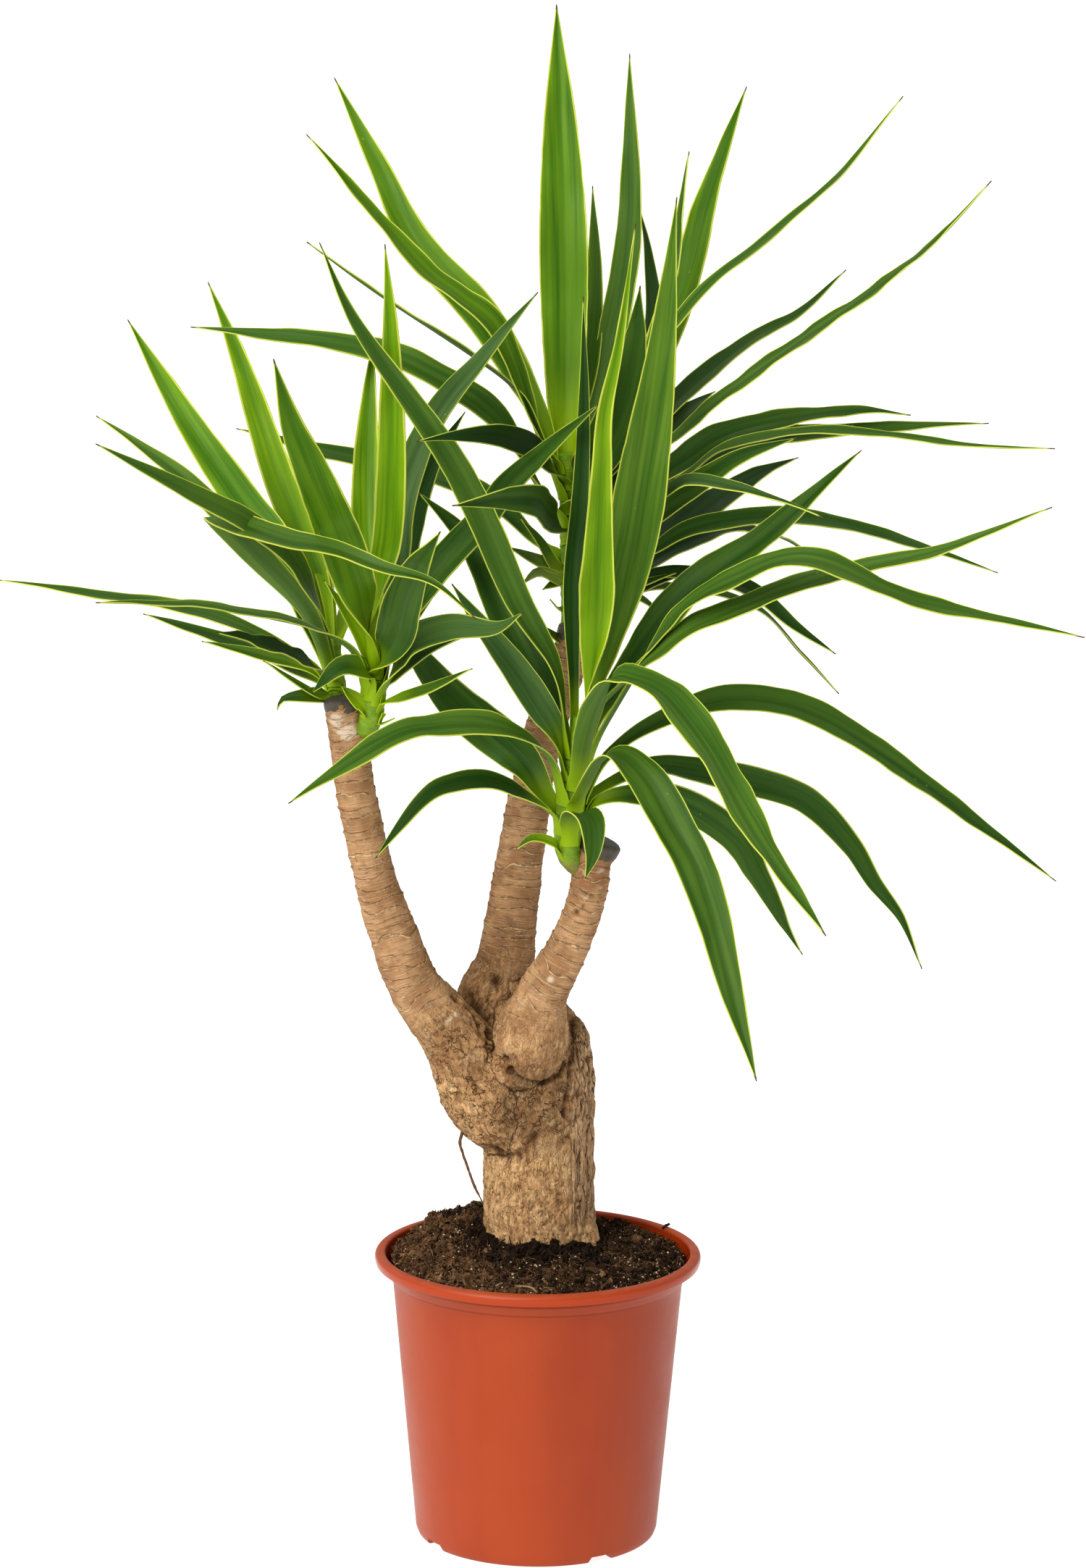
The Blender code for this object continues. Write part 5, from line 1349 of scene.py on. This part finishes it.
def straightened(places, leads, step=8000):
    # for each point in cm: its limb, and its place with that limb straightened upwards;
    # the leads, which stray a little from the points, choose the limb, so two limbs' bark meets raggedly
    stations = trunkStations()
    limbs, straight = np.zeros(len(places), int), np.zeros((len(places), 3))
    for low in range(0, len(places), step):
        part, lead = places[low:low + step], leads[low:low + step]
        gap = np.linalg.norm(lead[:, None] - stations[None, :, 1:4], axis=2) - stations[None, :, 4]
        found = stations[gap.argmin(axis=1)]
        ahead = found[:, 6:9]
        off = part - found[:, 1:4]
        slide = (off * ahead).sum(axis=1)
        off = off - ahead * slide[:, None]
        rest = np.array((0.0, 1.0, 0.0)) - ahead * ahead[:, 1:2]
        rest /= np.linalg.norm(rest, axis=1)[:, None]
        third = np.cross(ahead, rest)
        limbs[low:low + step] = found[:, 0]
        columns = (off * rest).sum(axis=1), (off * third).sum(axis=1), found[:, 5] + slide
        straight[low:low + step] = np.stack(columns, axis=1)
    return limbs, straight


def onSkin(body, point):
    # the point, in cm, moved to the skin: straight back if the skin is close that way, or to its nearest spot
    point = Vector(point[:3])
    hit, struck, _, _ = body.ray_cast(Vector((point.x, -9, point.z)) * cm, Vector((0, 1, 0)))
    if hit and abs(struck.y / cm - point.y) < 2.2:
        return struck / cm
    return body.closest_point_on_mesh(point * cm)[1] / cm


def nearLines(body, places, lines, step=20000):
    # how strongly each point feels the nearest of these lines, as its depth times a smooth fall-off
    strongest = np.zeros(len(places))
    for points, width, depth in lines:
        line = np.array([onSkin(body, point) for point in smoothRoute(points, 48)])
        for low in range(0, len(places), step):
            part = slice(low, low + step)
            nearest = np.linalg.norm(places[part, None] - line[None], axis=2).min(axis=1)
            strongest[part] = np.maximum(strongest[part], depth * np.exp(-((nearest / width) ** 2)))
    return strongest


def barkFlakes(wires, lay, scale, wander, swirl):
    # flakes of bark as cells: the height on each tipped flake, the gap to the next, and a shade of its own
    half = (0.5, 0.5, 0.5)
    bent = wires.add("TexNoise", {"Vector": lay, "Scale": wander, "Detail": 2.0}, "Color")
    bent = wires.vectors("MULTIPLY", wires.vectors("SUBTRACT", bent, half), (swirl, swirl, swirl))
    spot = wires.vectors("ADD", wires.stretch(lay, scale)[0], bent)
    own = wires.cells(spot, 1.0, output="Color")
    middle = own.node.outputs["Position"]
    lean = wires.vectors("SUBTRACT", own, half)
    tip = wires.vectors("DOT_PRODUCT", wires.vectors("SUBTRACT", spot, middle), lean, "Value")
    shade = wires.vectors("DOT_PRODUCT", own, (0.0, 1.0, 0.0), "Value")
    return tip, wires.cells(spot, 1.0, "DISTANCE_TO_EDGE"), shade


def barkCracks(wires, lay, scale, width, detail, warp):
    # thin wandering lines where a stretched noise crosses its middle
    return wires.near(wires.noise(lay, scale, detail, 0.55, warp), 0.5, 0.0, width)


def ruggedLook(wires, lay, tint, fine):
    # the colour and height of flaky bark
    f = barkFinish
    plate, side, calm = (wires.attribute(name) for name in ("barkPlate", "barkSide", "barkCalm"))
    longTip, longGap, longShade = barkFlakes(wires, lay, (330, 330, 62), 110.0, 2.4)
    wideTip, wideGap, wideShade = barkFlakes(wires, lay, (150, 110, 92), 120.0, 2.2)
    smallTip = barkFlakes(wires, lay, (430, 430, 260), 300.0, 0.9)[0]
    grain = wires.noise(lay, (950, 950, 260), 4, 0.65, 0.6)
    lumps = wires.noise(lay, (330, 330, 120), 4, 0.6, 0.9)
    strings = wires.noise(lay, (380, 380, 30), 3, 0.6, 0.5)
    shade = wires.blend(plate, longShade, wideShade)
    colour = wires.coat(tint, f["straw"], wires.rise(shade, 0.50, 1.0, 0.0, 0.36))
    colour = wires.coat(colour, f["middleDeep"], wires.rise(shade, 0.50, 0.0, 0.0, 0.48))
    colour = wires.coat(colour, f["straw"], wires.rise(grain, 0.50, 0.70), 0.35)
    colour = wires.coat(colour, f["middleDeep"], wires.rise(grain, 0.50, 0.32), 0.42)
    colour = wires.coat(colour, f["middleDeep"], fine, 0.18)
    longEdge = wires.times(wires.fall(longGap, 0.0, 0.13), wires.patches(lay, 170.0, 0.46, 0.62))
    wideEdge = wires.times(wires.fall(wideGap, 0.0, 0.06), wires.patches(lay, 120.0, 0.46, 0.60))
    lines = wires.blend(plate, wires.times(longEdge, 0.5), wires.times(wideEdge, 0.85))
    cracks = barkCracks(wires, lay, (430, 430, 150), 0.022, 3, 1.6)
    cracks = wires.times(cracks, wires.patches(lay, 260.0, 0.40, 0.58))
    lines = wires.most(lines, wires.times(cracks, 0.45))
    lines = wires.times(lines, wires.less(1.0, wires.times(calm, 0.25)))
    splits = wires.times(barkCracks(wires, lay, (300, 300, 20), 0.035, 3, 0.8), wires.times(side, 0.9))
    lines = wires.most(wires.times(lines, wires.less(1.0, wires.times(side, 0.7))), splits)
    height = wires.blend(side, wires.blend(plate, longTip, wires.times(wideTip, 1.7)), strings)
    for layer, share in ((smallTip, 0.7), (lumps, 0.5), (grain, 0.4), (lines, -0.7)):
        height = wires.plus(height, wires.times(layer, share))
    return wires.mix(lines, colour, f["crack"]), wires.times(height, wires.less(1.0, wires.times(calm, 0.3)))


def caneLook(wires, lay, tint, fine):
    # the colour and height of ringed bark, with a broken pale lip and a painted shade line in the groove
    # under each leaf scar's lip
    f = barkFinish
    hoops = wires.noise(lay, (55, 55, 1100), 3, 0.6, 0.4)
    colour = wires.coat(tint, f["shade"], wires.rise(hoops, 0.46, 0.66), 0.5)
    colour = wires.coat(colour, f["straw"], wires.rise(hoops, 0.46, 0.30), 0.42)
    colour = wires.coat(colour, f["shade"], fine, 0.26)
    part = wires.maths("FRACT", wires.attribute("barkRing"))
    broken = wires.patches(lay, (200, 200, 60), 0.44, 0.56, 3, 0.6)
    lip = wires.times(wires.times(wires.rise(part, 0.84, 0.93), wires.fall(part, 0.95, 0.985)), broken)
    colour = wires.coat(colour, f["straw"], lip, 0.75)
    # painted shade in the groove under each scar's lip
    under = wires.most(wires.fall(part, 0.0, 0.07), wires.rise(part, 0.975, 0.995))
    under = wires.times(under, wires.plus(0.1, wires.times(wires.less(1.0, broken), 0.9)))
    colour = wires.coat(colour, f["shadeDeep"], under, 0.4)
    arcs = barkCracks(wires, lay, (42, 42, 300), 0.018, 2, 0.5)
    arcs = wires.times(arcs, wires.patches(lay, (150, 150, 60), 0.48, 0.60))
    colour = wires.coat(colour, f["pale"], arcs, 0.65)
    splits = barkCracks(wires, lay, (260, 260, 130), 0.012, 2, 1.0)
    colour = wires.coat(colour, f["crack"], wires.times(splits, wires.patches(lay, 75.0, 0.52, 0.60)), 0.7)
    height = wires.plus(wires.times(hoops, 0.35), wires.times(wires.less(lip, under), 0.42))
    return colour, wires.plus(height, wires.times(arcs, 0.3))


def makeBark():
    material, shader, wires = newMaterial("bark", barkFinish["roughness"], Specular_IOR_Level=0.18)
    lay, tint = wires.attribute("barkLay", "Vector"), wires.attribute("barkTint", "Color")
    cane = wires.attribute("barkCane")
    fine = wires.blotches(lay, 300.0, 0.25)
    rugged, coarse = ruggedLook(wires, lay, tint, fine)
    smooth, even = caneLook(wires, lay, tint, fine)
    colour = wires.mix(cane, rugged, smooth)
    # painted shade in the hollows, creases and holes
    colour = wires.coat(colour, barkFinish["crack"], wires.attribute("barkHollowShade"), 0.9)
    colour = wires.coat(colour, barkFinish["pale"], wires.attribute("barkPale"))
    wires.finish(shader, colour, wires.blend(cane, coarse, even), 0.0024)
    return material


def scaled(point, across, deep, up):
    return Vector((point.x * across, point.y * deep, point.z * up))


def around(place, middle, far, close, wobble):
    # 1 close to this middle, falling to 0 with a wobbly edge
    return smoothStep(far, close, (place - Vector(middle)).length + wobble)


def mixed(first, second, share):
    return first * (1 - share) + second * share


def grooved(first, second, share, width):
    # 0 in the grooves, where one of two noises crosses zero, and 1 on the ridges between them
    one, two = (smoothStep(0, width, abs(noise.noise(spot))) for spot in (first, second))
    return share * one + (1 - share) * two


def barkZones(place, limb, along):
    # how much this place has of ringed cane, dark scar, calm bulb, popcorn plates and the fissured right side
    b = barkShape
    start = b["caneFrom"][limb]
    climbed = along + noise.noise(place * 0.6) * 1.6 + noise.noise(place * 1.9) * 1.2
    cane = smoothStep(start - 3, start + 2.4, climbed)
    scar = around(place, b["scar"], 1.3, 0.6, noise.noise(place * 1.5) * 0.4)
    bulb = smoothStep(34.2, 35.2, place.z) * (1 - scar) if limb == 3 else 0
    plates = smoothStep(28.4, 30.8, place.z + noise.noise(place * 0.5) * 1.5)
    plates *= smoothStep(40.5, 37.5, place.z)
    flank = smoothStep(1.9, 2.8, place.x) * smoothStep(40, 37, place.z) * smoothStep(22.4, 24.5, place.z)
    return cane, scar, bulb, max(plates * (1 - bulb), scar), flank


def caneRelief(lay, along, limb):
    # the height of a cane's leaf scars, and the count of scars up to here
    b = barkShape
    wander = noise.noise(scaled(lay, 0.42, 0.42, 0.25)) * 0.9 + noise.noise(lay * 1.1) * 0.26
    phase = along / b["ring"] + wander + noise.noise(Vector((0, 0, along * 0.7 + limb * 9))) * 0.6
    part = phase % 1
    spot = Vector((lay.x * 0.9, lay.y * 0.9, math.floor(phase) * 3.7))
    fade = 0.35 + 1.3 * max(0, noise.noise(spot) + 0.25)
    ring = (part ** 1.8 - smoothStep(0.93, 1.0, part) * 1.15) * b["ringHeight"] * fade
    ring += max(0, noise.noise(scaled(lay, 3.4, 3.4, 1)) - 0.1) * 0.16 * smoothStep(0.7, 0.92, part)
    return ring + noise.noise(lay * 0.55) * 0.08 + noise.noise(lay * 3.6) * b["grain"], phase


def ruggedRelief(place, lay, bulb, plates, flank):
    # the height of flaky bark, and the painted shade in its hollows
    b = barkShape
    bent = lay + noise.noise_vector(lay * 0.9) * 0.42
    coarse, fine = scaled(bent, 1.7, 1.7, 0.46), scaled(bent, 3.3, 3.3, 1.1) + Vector((5, 0, 0))
    ridged = grooved(coarse, fine, 0.55, 0.26)
    coarse, fine = scaled(bent, 1.5, 1.5, 0.11) + Vector((3, 0, 5)), scaled(bent, 3.0, 3.0, 0.2)
    deep = grooved(coarse, fine, 0.6, 0.24)
    spot = scaled(bent, 1, 1, 0.8) * 0.82
    near, middles = noise.voronoi(spot + noise.noise_vector(lay * 2.2) * 0.12)
    edge, own = near[1] - near[0], noise.noise_vector(middles[0] * 3.1)
    ridges = (ridged - 0.62) * b["ridge"]
    plated = (smoothStep(0, 0.13, edge) - 0.75) * b["plate"] + own.x * 0.07
    plated += (spot - middles[0]).dot(own) * b["plateTilt"] + ridges * 0.28
    height = mixed(ridges, plated, plates) * (1 - 0.25 * bulb)
    height = mixed(height, (deep - 0.62) * b["fissure"], flank) + noise.noise(lay * 5) * b["grain"]
    lumps = noise.noise(place * 0.42 + Vector((3, 1, 7))) + noise.noise(place * 1.1 + Vector((1, 8, 2))) * 0.8
    hollowShade = mixed((1 - smoothStep(0.04, 0.30, ridged)) * 0.6, (1 - smoothStep(0, 0.07, edge)) * 0.55, plates)
    hollowShade = mixed(hollowShade, (1 - smoothStep(0.05, 0.36, deep)) * 0.75, flank)
    return height + lumps * b["lump"], hollowShade * (1 - 0.3 * bulb)


barkTones = {key: np.array(value) for key, value in barkFinish.items()}


def barkColour(place, limb, cane, scar, bulb, flank):
    b, f = barkShape, barkTones
    blotch = noise.noise(place * 0.55 + Vector((7, 2, 4))) * 0.6 + noise.noise(place * 1.7) * 0.4
    blotch = smoothStep(-0.28, 0.32, blotch)
    kinds = ("foot", "middle", "side", "cane", "shade")
    foot, middle, side, upper, shade = (mixed(f[kind], f[kind + "Deep"], blotch) for kind in kinds)
    tint = mixed(foot, middle, smoothStep(27.5, 30.5, place.z))
    tint = mixed(tint, middle * 0.6 + upper * 0.4, bulb)
    tint = mixed(tint, f["middleDeep"], scar * 0.7)
    # painted shade under the fork of the limbs, and a painted highlight on the left lobe beside it
    wobble = noise.noise(place * 0.8)
    forkShade, glow = around(place, b["forkShade"], 4.4, 1.6, wobble), around(place, b["glow"], 3.6, 1.6, wobble)
    tint *= 1 - 0.52 * forkShade + 0.10 * glow
    tint = mixed(mixed(tint, side, flank), upper, cane)
    # painted shade on the back cane's far side and low down between the canes; the left limb's foot is darker
    # too
    dull = 0  # the back cane's shaded side, and the left limb's foot
    if limb == 2:
        dull = smoothStep(1.0, 3.4, place.y) * smoothStep(52, 40, place.z)
        dull = max(dull, 0.45 * smoothStep(50, 44, place.z))
    if limb == 1:
        dull = 0.45 * smoothStep(34, 36, place.z) * smoothStep(40, 38, place.z)
        dull *= smoothStep(-3.2, -4.4, place.x)
    tint = mixed(tint, shade, dull)
    torn = around(place, b["torn"], 2.0, 0.8, noise.noise(place * 1.4) * 0.9)
    tint = mixed(tint, f["torn"], 0.75 * torn)
    return mixed(tint, f["damp"], smoothStep(22.0, 21.3, place.z + noise.noise(place * 1.6) * 0.5) * 0.85)


def barkPaleness(place, ridge):
    # pale spots, and the pale broken edges of raised bark
    palest = min(ridge * 5, 0.6) * smoothStep(-0.2, 0.3, noise.noise(place * 2.2))
    palest *= smoothStep(34.5, 36, place.z)
    for *middle, radius in trunkSpots:
        far = (place - Vector(middle)).length / radius
        palest = max(palest, 0.8 * smoothStep(1.0, 0.5, far + noise.noise(place * 2.4) * 0.5))
    return palest


def trunkBody():
    # the limbs and swellings grown into one plain, smooth body
    pieces = [limbTube(points, 40, 32) for points in trunkLimbs.values()]
    for x, y, z, *size in trunkSwellings:
        deselectAll()
        where = dict(location=(x * cm, y * cm, z * cm), scale=size)
        bpy.ops.mesh.primitive_uv_sphere_add(segments=32, ring_count=20, radius=cm, **where)
        bpy.ops.object.transform_apply(location=True, rotation=False, scale=True)
        pieces.append(bpy.context.object)
    trunk = joinPieces(pieces, "trunk")
    makeActive(trunk)
    bpy.ops.object.transform_apply(location=True, rotation=True, scale=True)
    applyModifier(trunk, "REMESH", mode="VOXEL", voxel_size=barkShape["voxel"], adaptivity=0.0)
    applyModifier(trunk, "SMOOTH", factor=0.5, iterations=16)
    return trunk


def makeTrunk():
    trunk = trunkBody()
    mesh = trunk.data
    count = len(mesh.vertices)
    places, normals = np.empty(count * 3), np.empty(count * 3)
    mesh.vertices.foreach_get("co", places)
    mesh.vertices.foreach_get("normal", normals)
    places, normals = places.reshape(-1, 3) / cm, normals.reshape(-1, 3)
    stray = []
    for place in map(Vector, places):
        stray.append(noise.noise_vector(place * 0.9) * 0.3 + noise.noise_vector(place * 3) * 0.08)
    stray = np.array(stray)
    limbs, straight = straightened(places, places + stray * 1.4)
    shifts = np.outer(limbs, barkShape["limbStep"])  # each limb's bark is another part of the pattern
    strayed = places + stray * 0.45
    creases, ridges = (nearLines(trunk, strayed, lines) for lines in (trunkCreases, trunkRidges))
    holes = [(onSkin(trunk, hole), *hole[3:]) for hole in trunkHoles]
    push, tints, facts = np.zeros(count), np.zeros((count, 3)), np.zeros((count, 7))
    for i in range(count):
        place, lay = Vector(places[i]), Vector(straight[i]) + Vector(shifts[i])
        limb, along = limbs[i], straight[i, 2]
        cane, scar, bulb, plates, flank = barkZones(place, limb, along)
        even, phase = caneRelief(lay, along, limb)
        coarse, cavityShade = ruggedRelief(place, lay, bulb, plates, flank)
        height = mixed(coarse, even, cane) - creases[i] + ridges[i] * (0.7 + 0.9 * noise.noise(place * 3))
        # painted shade in the hollows, the creases and the holes
        hollowShade = min(1, cavityShade * (1 - cane) + creases[i] * 3.4 * (0.8 + noise.noise(place * 2.5)))
        for middle, radius, depth in holes:
            pit = math.exp(-((place - middle).length / radius) ** 2)
            height -= depth * pit
            hollowShade = min(1, max(hollowShade, pit * 1.3))
        push[i] = height
        tints[i] = barkColour(place, limb, cane, scar, bulb, flank)
        facts[i] = cane, phase, hollowShade, barkPaleness(place, ridges[i]), flank * (1 - cane), plates, bulb
    mesh.vertices.foreach_set("co", ((places + normals * push[:, None]) * cm).ravel())
    lays = ((straight + shifts) * cm).astype(np.float32)
    mesh.attributes.new("barkLay", "FLOAT_VECTOR", "POINT").data.foreach_set("vector", lays.ravel())
    setColours(mesh, "barkTint", tints)
    names = ("barkCane", "barkRing", "barkHollowShade", "barkPale", "barkSide", "barkPlate", "barkCalm")
    setNumbers(mesh, **dict(zip(names, facts.T)))
    mesh.update()
    print("trunk triangles", sum(len(polygon.vertices) - 2 for polygon in mesh.polygons))
    finishPiece(trunk, "trunk", [makeBark()], ["trunk"], 75)


makeTrunk()
print("trunk ready")


sealShape = dict(radius=0.0150, bore=0.0125, cap=0.0042, sleeve=0.0068, skin=0.0010, drip=0.0022, sides=72)
sealFinish = dict(
    dark=(0.042, 0.034, 0.024), light=(0.095, 0.080, 0.058), dust=(0.17, 0.145, 0.11), roughness=0.55,
)
stemFinish = dict(
    green=(0.12, 0.24, 0.006), bright=(0.24, 0.36, 0.012), band=(0.24, 0.26, 0.03), low=(0.19, 0.115, 0.055),
)
# two colours for each small thing of wood
woodFinish = dict(
    knot=((0.36, 0.21, 0.09), (0.20, 0.11, 0.05)), root=((0.20, 0.105, 0.052), (0.10, 0.05, 0.028)),
    strand=((0.42, 0.29, 0.17), (0.24, 0.14, 0.075)), twig=((0.02, 0.013, 0.01), (0.06, 0.035, 0.02)),
)
# thin roots and a twig in cm, the strand as its places on the soil in metres
rootRoute = [
    (-5.4, 0.6, 30.7, 0.14), (-5.75, -0.3, 29.6, 0.12), (-5.5, -0.5, 28.7, 0.1), (-5.0, -0.7, 27.3, 0.09),
    (-4.65, -0.9, 26.4, 0.1), (-4.05, -1.0, 25.2, 0.04),
]
strandRoute = [
    (-0.030, -0.081), (-0.026, -0.083), (-0.021, -0.086), (-0.016, -0.0885), (-0.010, -0.092),
    (-0.004, -0.097), (0.000, -0.0985),
]
twigRoute = [(9.3, 6.1, 21.35, 0.1), (9.65, 6.3, 21.55, 0.12), (9.85, 6.4, 21.62, 0.08)]


def makeWax():
    f = sealFinish
    material, shader, wires = newMaterial("sealWax", f["roughness"], Specular_IOR_Level=0.4)
    here = wires.place()
    colour = wires.mix(wires.blotches(here, 220.0, 0.25), f["dark"], f["light"])
    colour = wires.coat(colour, f["dust"], wires.blotches(here, 700.0, 0.2), 0.3)
    wires.finish(shader, colour, wires.group(relief, Vector=here, Scale=420.0, Pits=0.35), 0.0007, 0.8)
    return material


def makeSeal(limb):
    # a wax cap with a sleeve, over the sawn top of a limb
    s = sealShape
    name = "seal" + limb.title()
    before, last = smoothRoute(trunkLimbs[limb], 14)[-2:]
    bore, sleeve, top = s["bore"], s["sleeve"], s["cap"]
    profile = [(0, top)]
    for share, height in (
        (0.3, top), (0.6, top - 0.0001), (0.82, top - 0.0004), (0.93, top - 0.0011), (0.985, top - 0.0022),
        (1, top - 0.0036), (1, -0.001), (0.99, -0.003), (0.975, -0.005),
    ):
        profile.append((s["radius"] * share, height))
    profile += [(bore + s["skin"], -sleeve), (bore, -sleeve), (bore, 0.0004), (0, 0.0004)]
    seal = spinProfile(profile, s["sides"])
    own = len(name)  # each seal has its own unevenness
    for vertex in seal.data.vertices:
        x, y, z = vertex.co
        angle = math.atan2(y, x)
        if z < -0.002:
            vertex.co.z += noise.noise(Vector((math.cos(angle), math.sin(angle), own)) * 2.1) * s["drip"]
        if math.hypot(x, y) > s["radius"] * 0.5:
            swell = 1 + noise.noise(vertex.co / 0.006 + Vector((own, 0, 0))) * 0.045
            vertex.co.x *= swell
            vertex.co.y *= swell
        else:
            vertex.co.z += noise.noise(vertex.co / 0.005) * 0.0005
    turn = (last - before).xyz.normalized().to_track_quat("Z", "Y").to_matrix().to_4x4()
    seal.data.transform(Matrix.Translation(last.xyz * cm) @ turn)
    seal.data.update()
    finishPiece(seal, name, [wax], ["cut_seal_" + limb], 50)


def makeKnot():
    # a tan knot that shows through the left seal
    last = smoothRoute(trunkLimbs["left"], 14)[-1]
    deselectAll()
    bpy.ops.mesh.primitive_uv_sphere_add(segments=20, ring_count=12, radius=0.0022)
    knot = bpy.context.object
    for vertex in knot.data.vertices:
        vertex.co.y *= 0.45
        vertex.co *= 1 + 0.25 * noise.noise(vertex.co / 0.0012)
        vertex.co += Vector((last.x * cm - 0.0012, last.y * cm - 0.0150, last.z * cm - 0.0012))
    finishPiece(knot, "sealKnot", [plainMatter("knotWood", *woodFinish["knot"], 500.0, 0.7)], (), 60)


def makeStemSkin():
    f = stemFinish
    material, shader, wires = newMaterial("stemSkin", 0.5, Specular_IOR_Level=0.4)
    here = wires.place()
    bands = wires.noise(here, (90, 90, 620), 3, 0.6)
    blotch = wires.blotches(here, 110.0, 0.2)
    colour = wires.mix(blotch, f["green"], f["bright"])
    colour = wires.coat(colour, f["band"], wires.rise(bands, 0.62, 0.70, 0.0, 0.45))
    colour = wires.coat(colour, f["low"], wires.attribute("stemLow"))
    wires.finish(shader, colour, wires.plus(bands, wires.times(blotch, 0.3)), 0.0008, 0.8)
    return material


def makeStem(shoot):
    # the foot of the shoots that stand by themselves is brown
    stem = limbTube(shootStems[shoot], 60, 28)
    base, top = shootStems[shoot][0][2] * cm, shootStems[shoot][-1][2] * cm
    brown, low = (0.7 if shoot in ("front", "back") else 0), []
    for vertex in stem.data.vertices:
        share = (vertex.co.z - base) / (top - base)
        low.append(brown * smoothStep(0.13, 0.04, share + noise.noise(vertex.co / 0.006) * 0.06))
        ring = (vertex.co.z / 0.0052 + noise.noise(vertex.co / 0.012) * 1.1) % 1
        vertex.co += vertex.normal * (ring * ring * 0.0006 + noise.noise(vertex.co / 0.004) * 0.0003)
    setNumbers(stem.data, stemLow=low)
    finishPiece(stem, "stem" + camelTitle(shoot), [stemSkin], ["shoot_stem_" + shoot], 60)


def makeRoots():
    hanging = limbTube(rootRoute, 40, 12, (0.003, 0.0005))
    skin = plainMatter("rootSkin", *woodFinish["root"], 260.0, 0.8)
    finishPiece(hanging, "hangingRoot", [skin], ["hanging_root"], 60)
    chance = random.Random("strand")
    route = []
    for x, y in strandRoute:
        route.append((x / cm, y / cm, soilTop(x, y) / cm + 0.22, 0.068 + chance.uniform(-0.012, 0.015)))
    skin = plainMatter("paleRoot", *woodFinish["strand"], 300.0, 0.8)
    finishPiece(limbTube(route, 40, 8), "rootStrand", [skin], (), 60)
    twig = limbTube(twigRoute, 14, 8, (0.0015, 0.0005))
    finishPiece(twig, "rimTwig", [plainMatter("darkTwig", *woodFinish["twig"], 500.0, 0.9)], (), 60)


wax = makeWax()
for limb in ("left", "back", "front"):
    makeSeal(limb)
makeKnot()
stemSkin = makeStemSkin()
for shoot in shootStems:
    makeStem(shoot)
makeRoots()
print("seals, stems and roots ready")
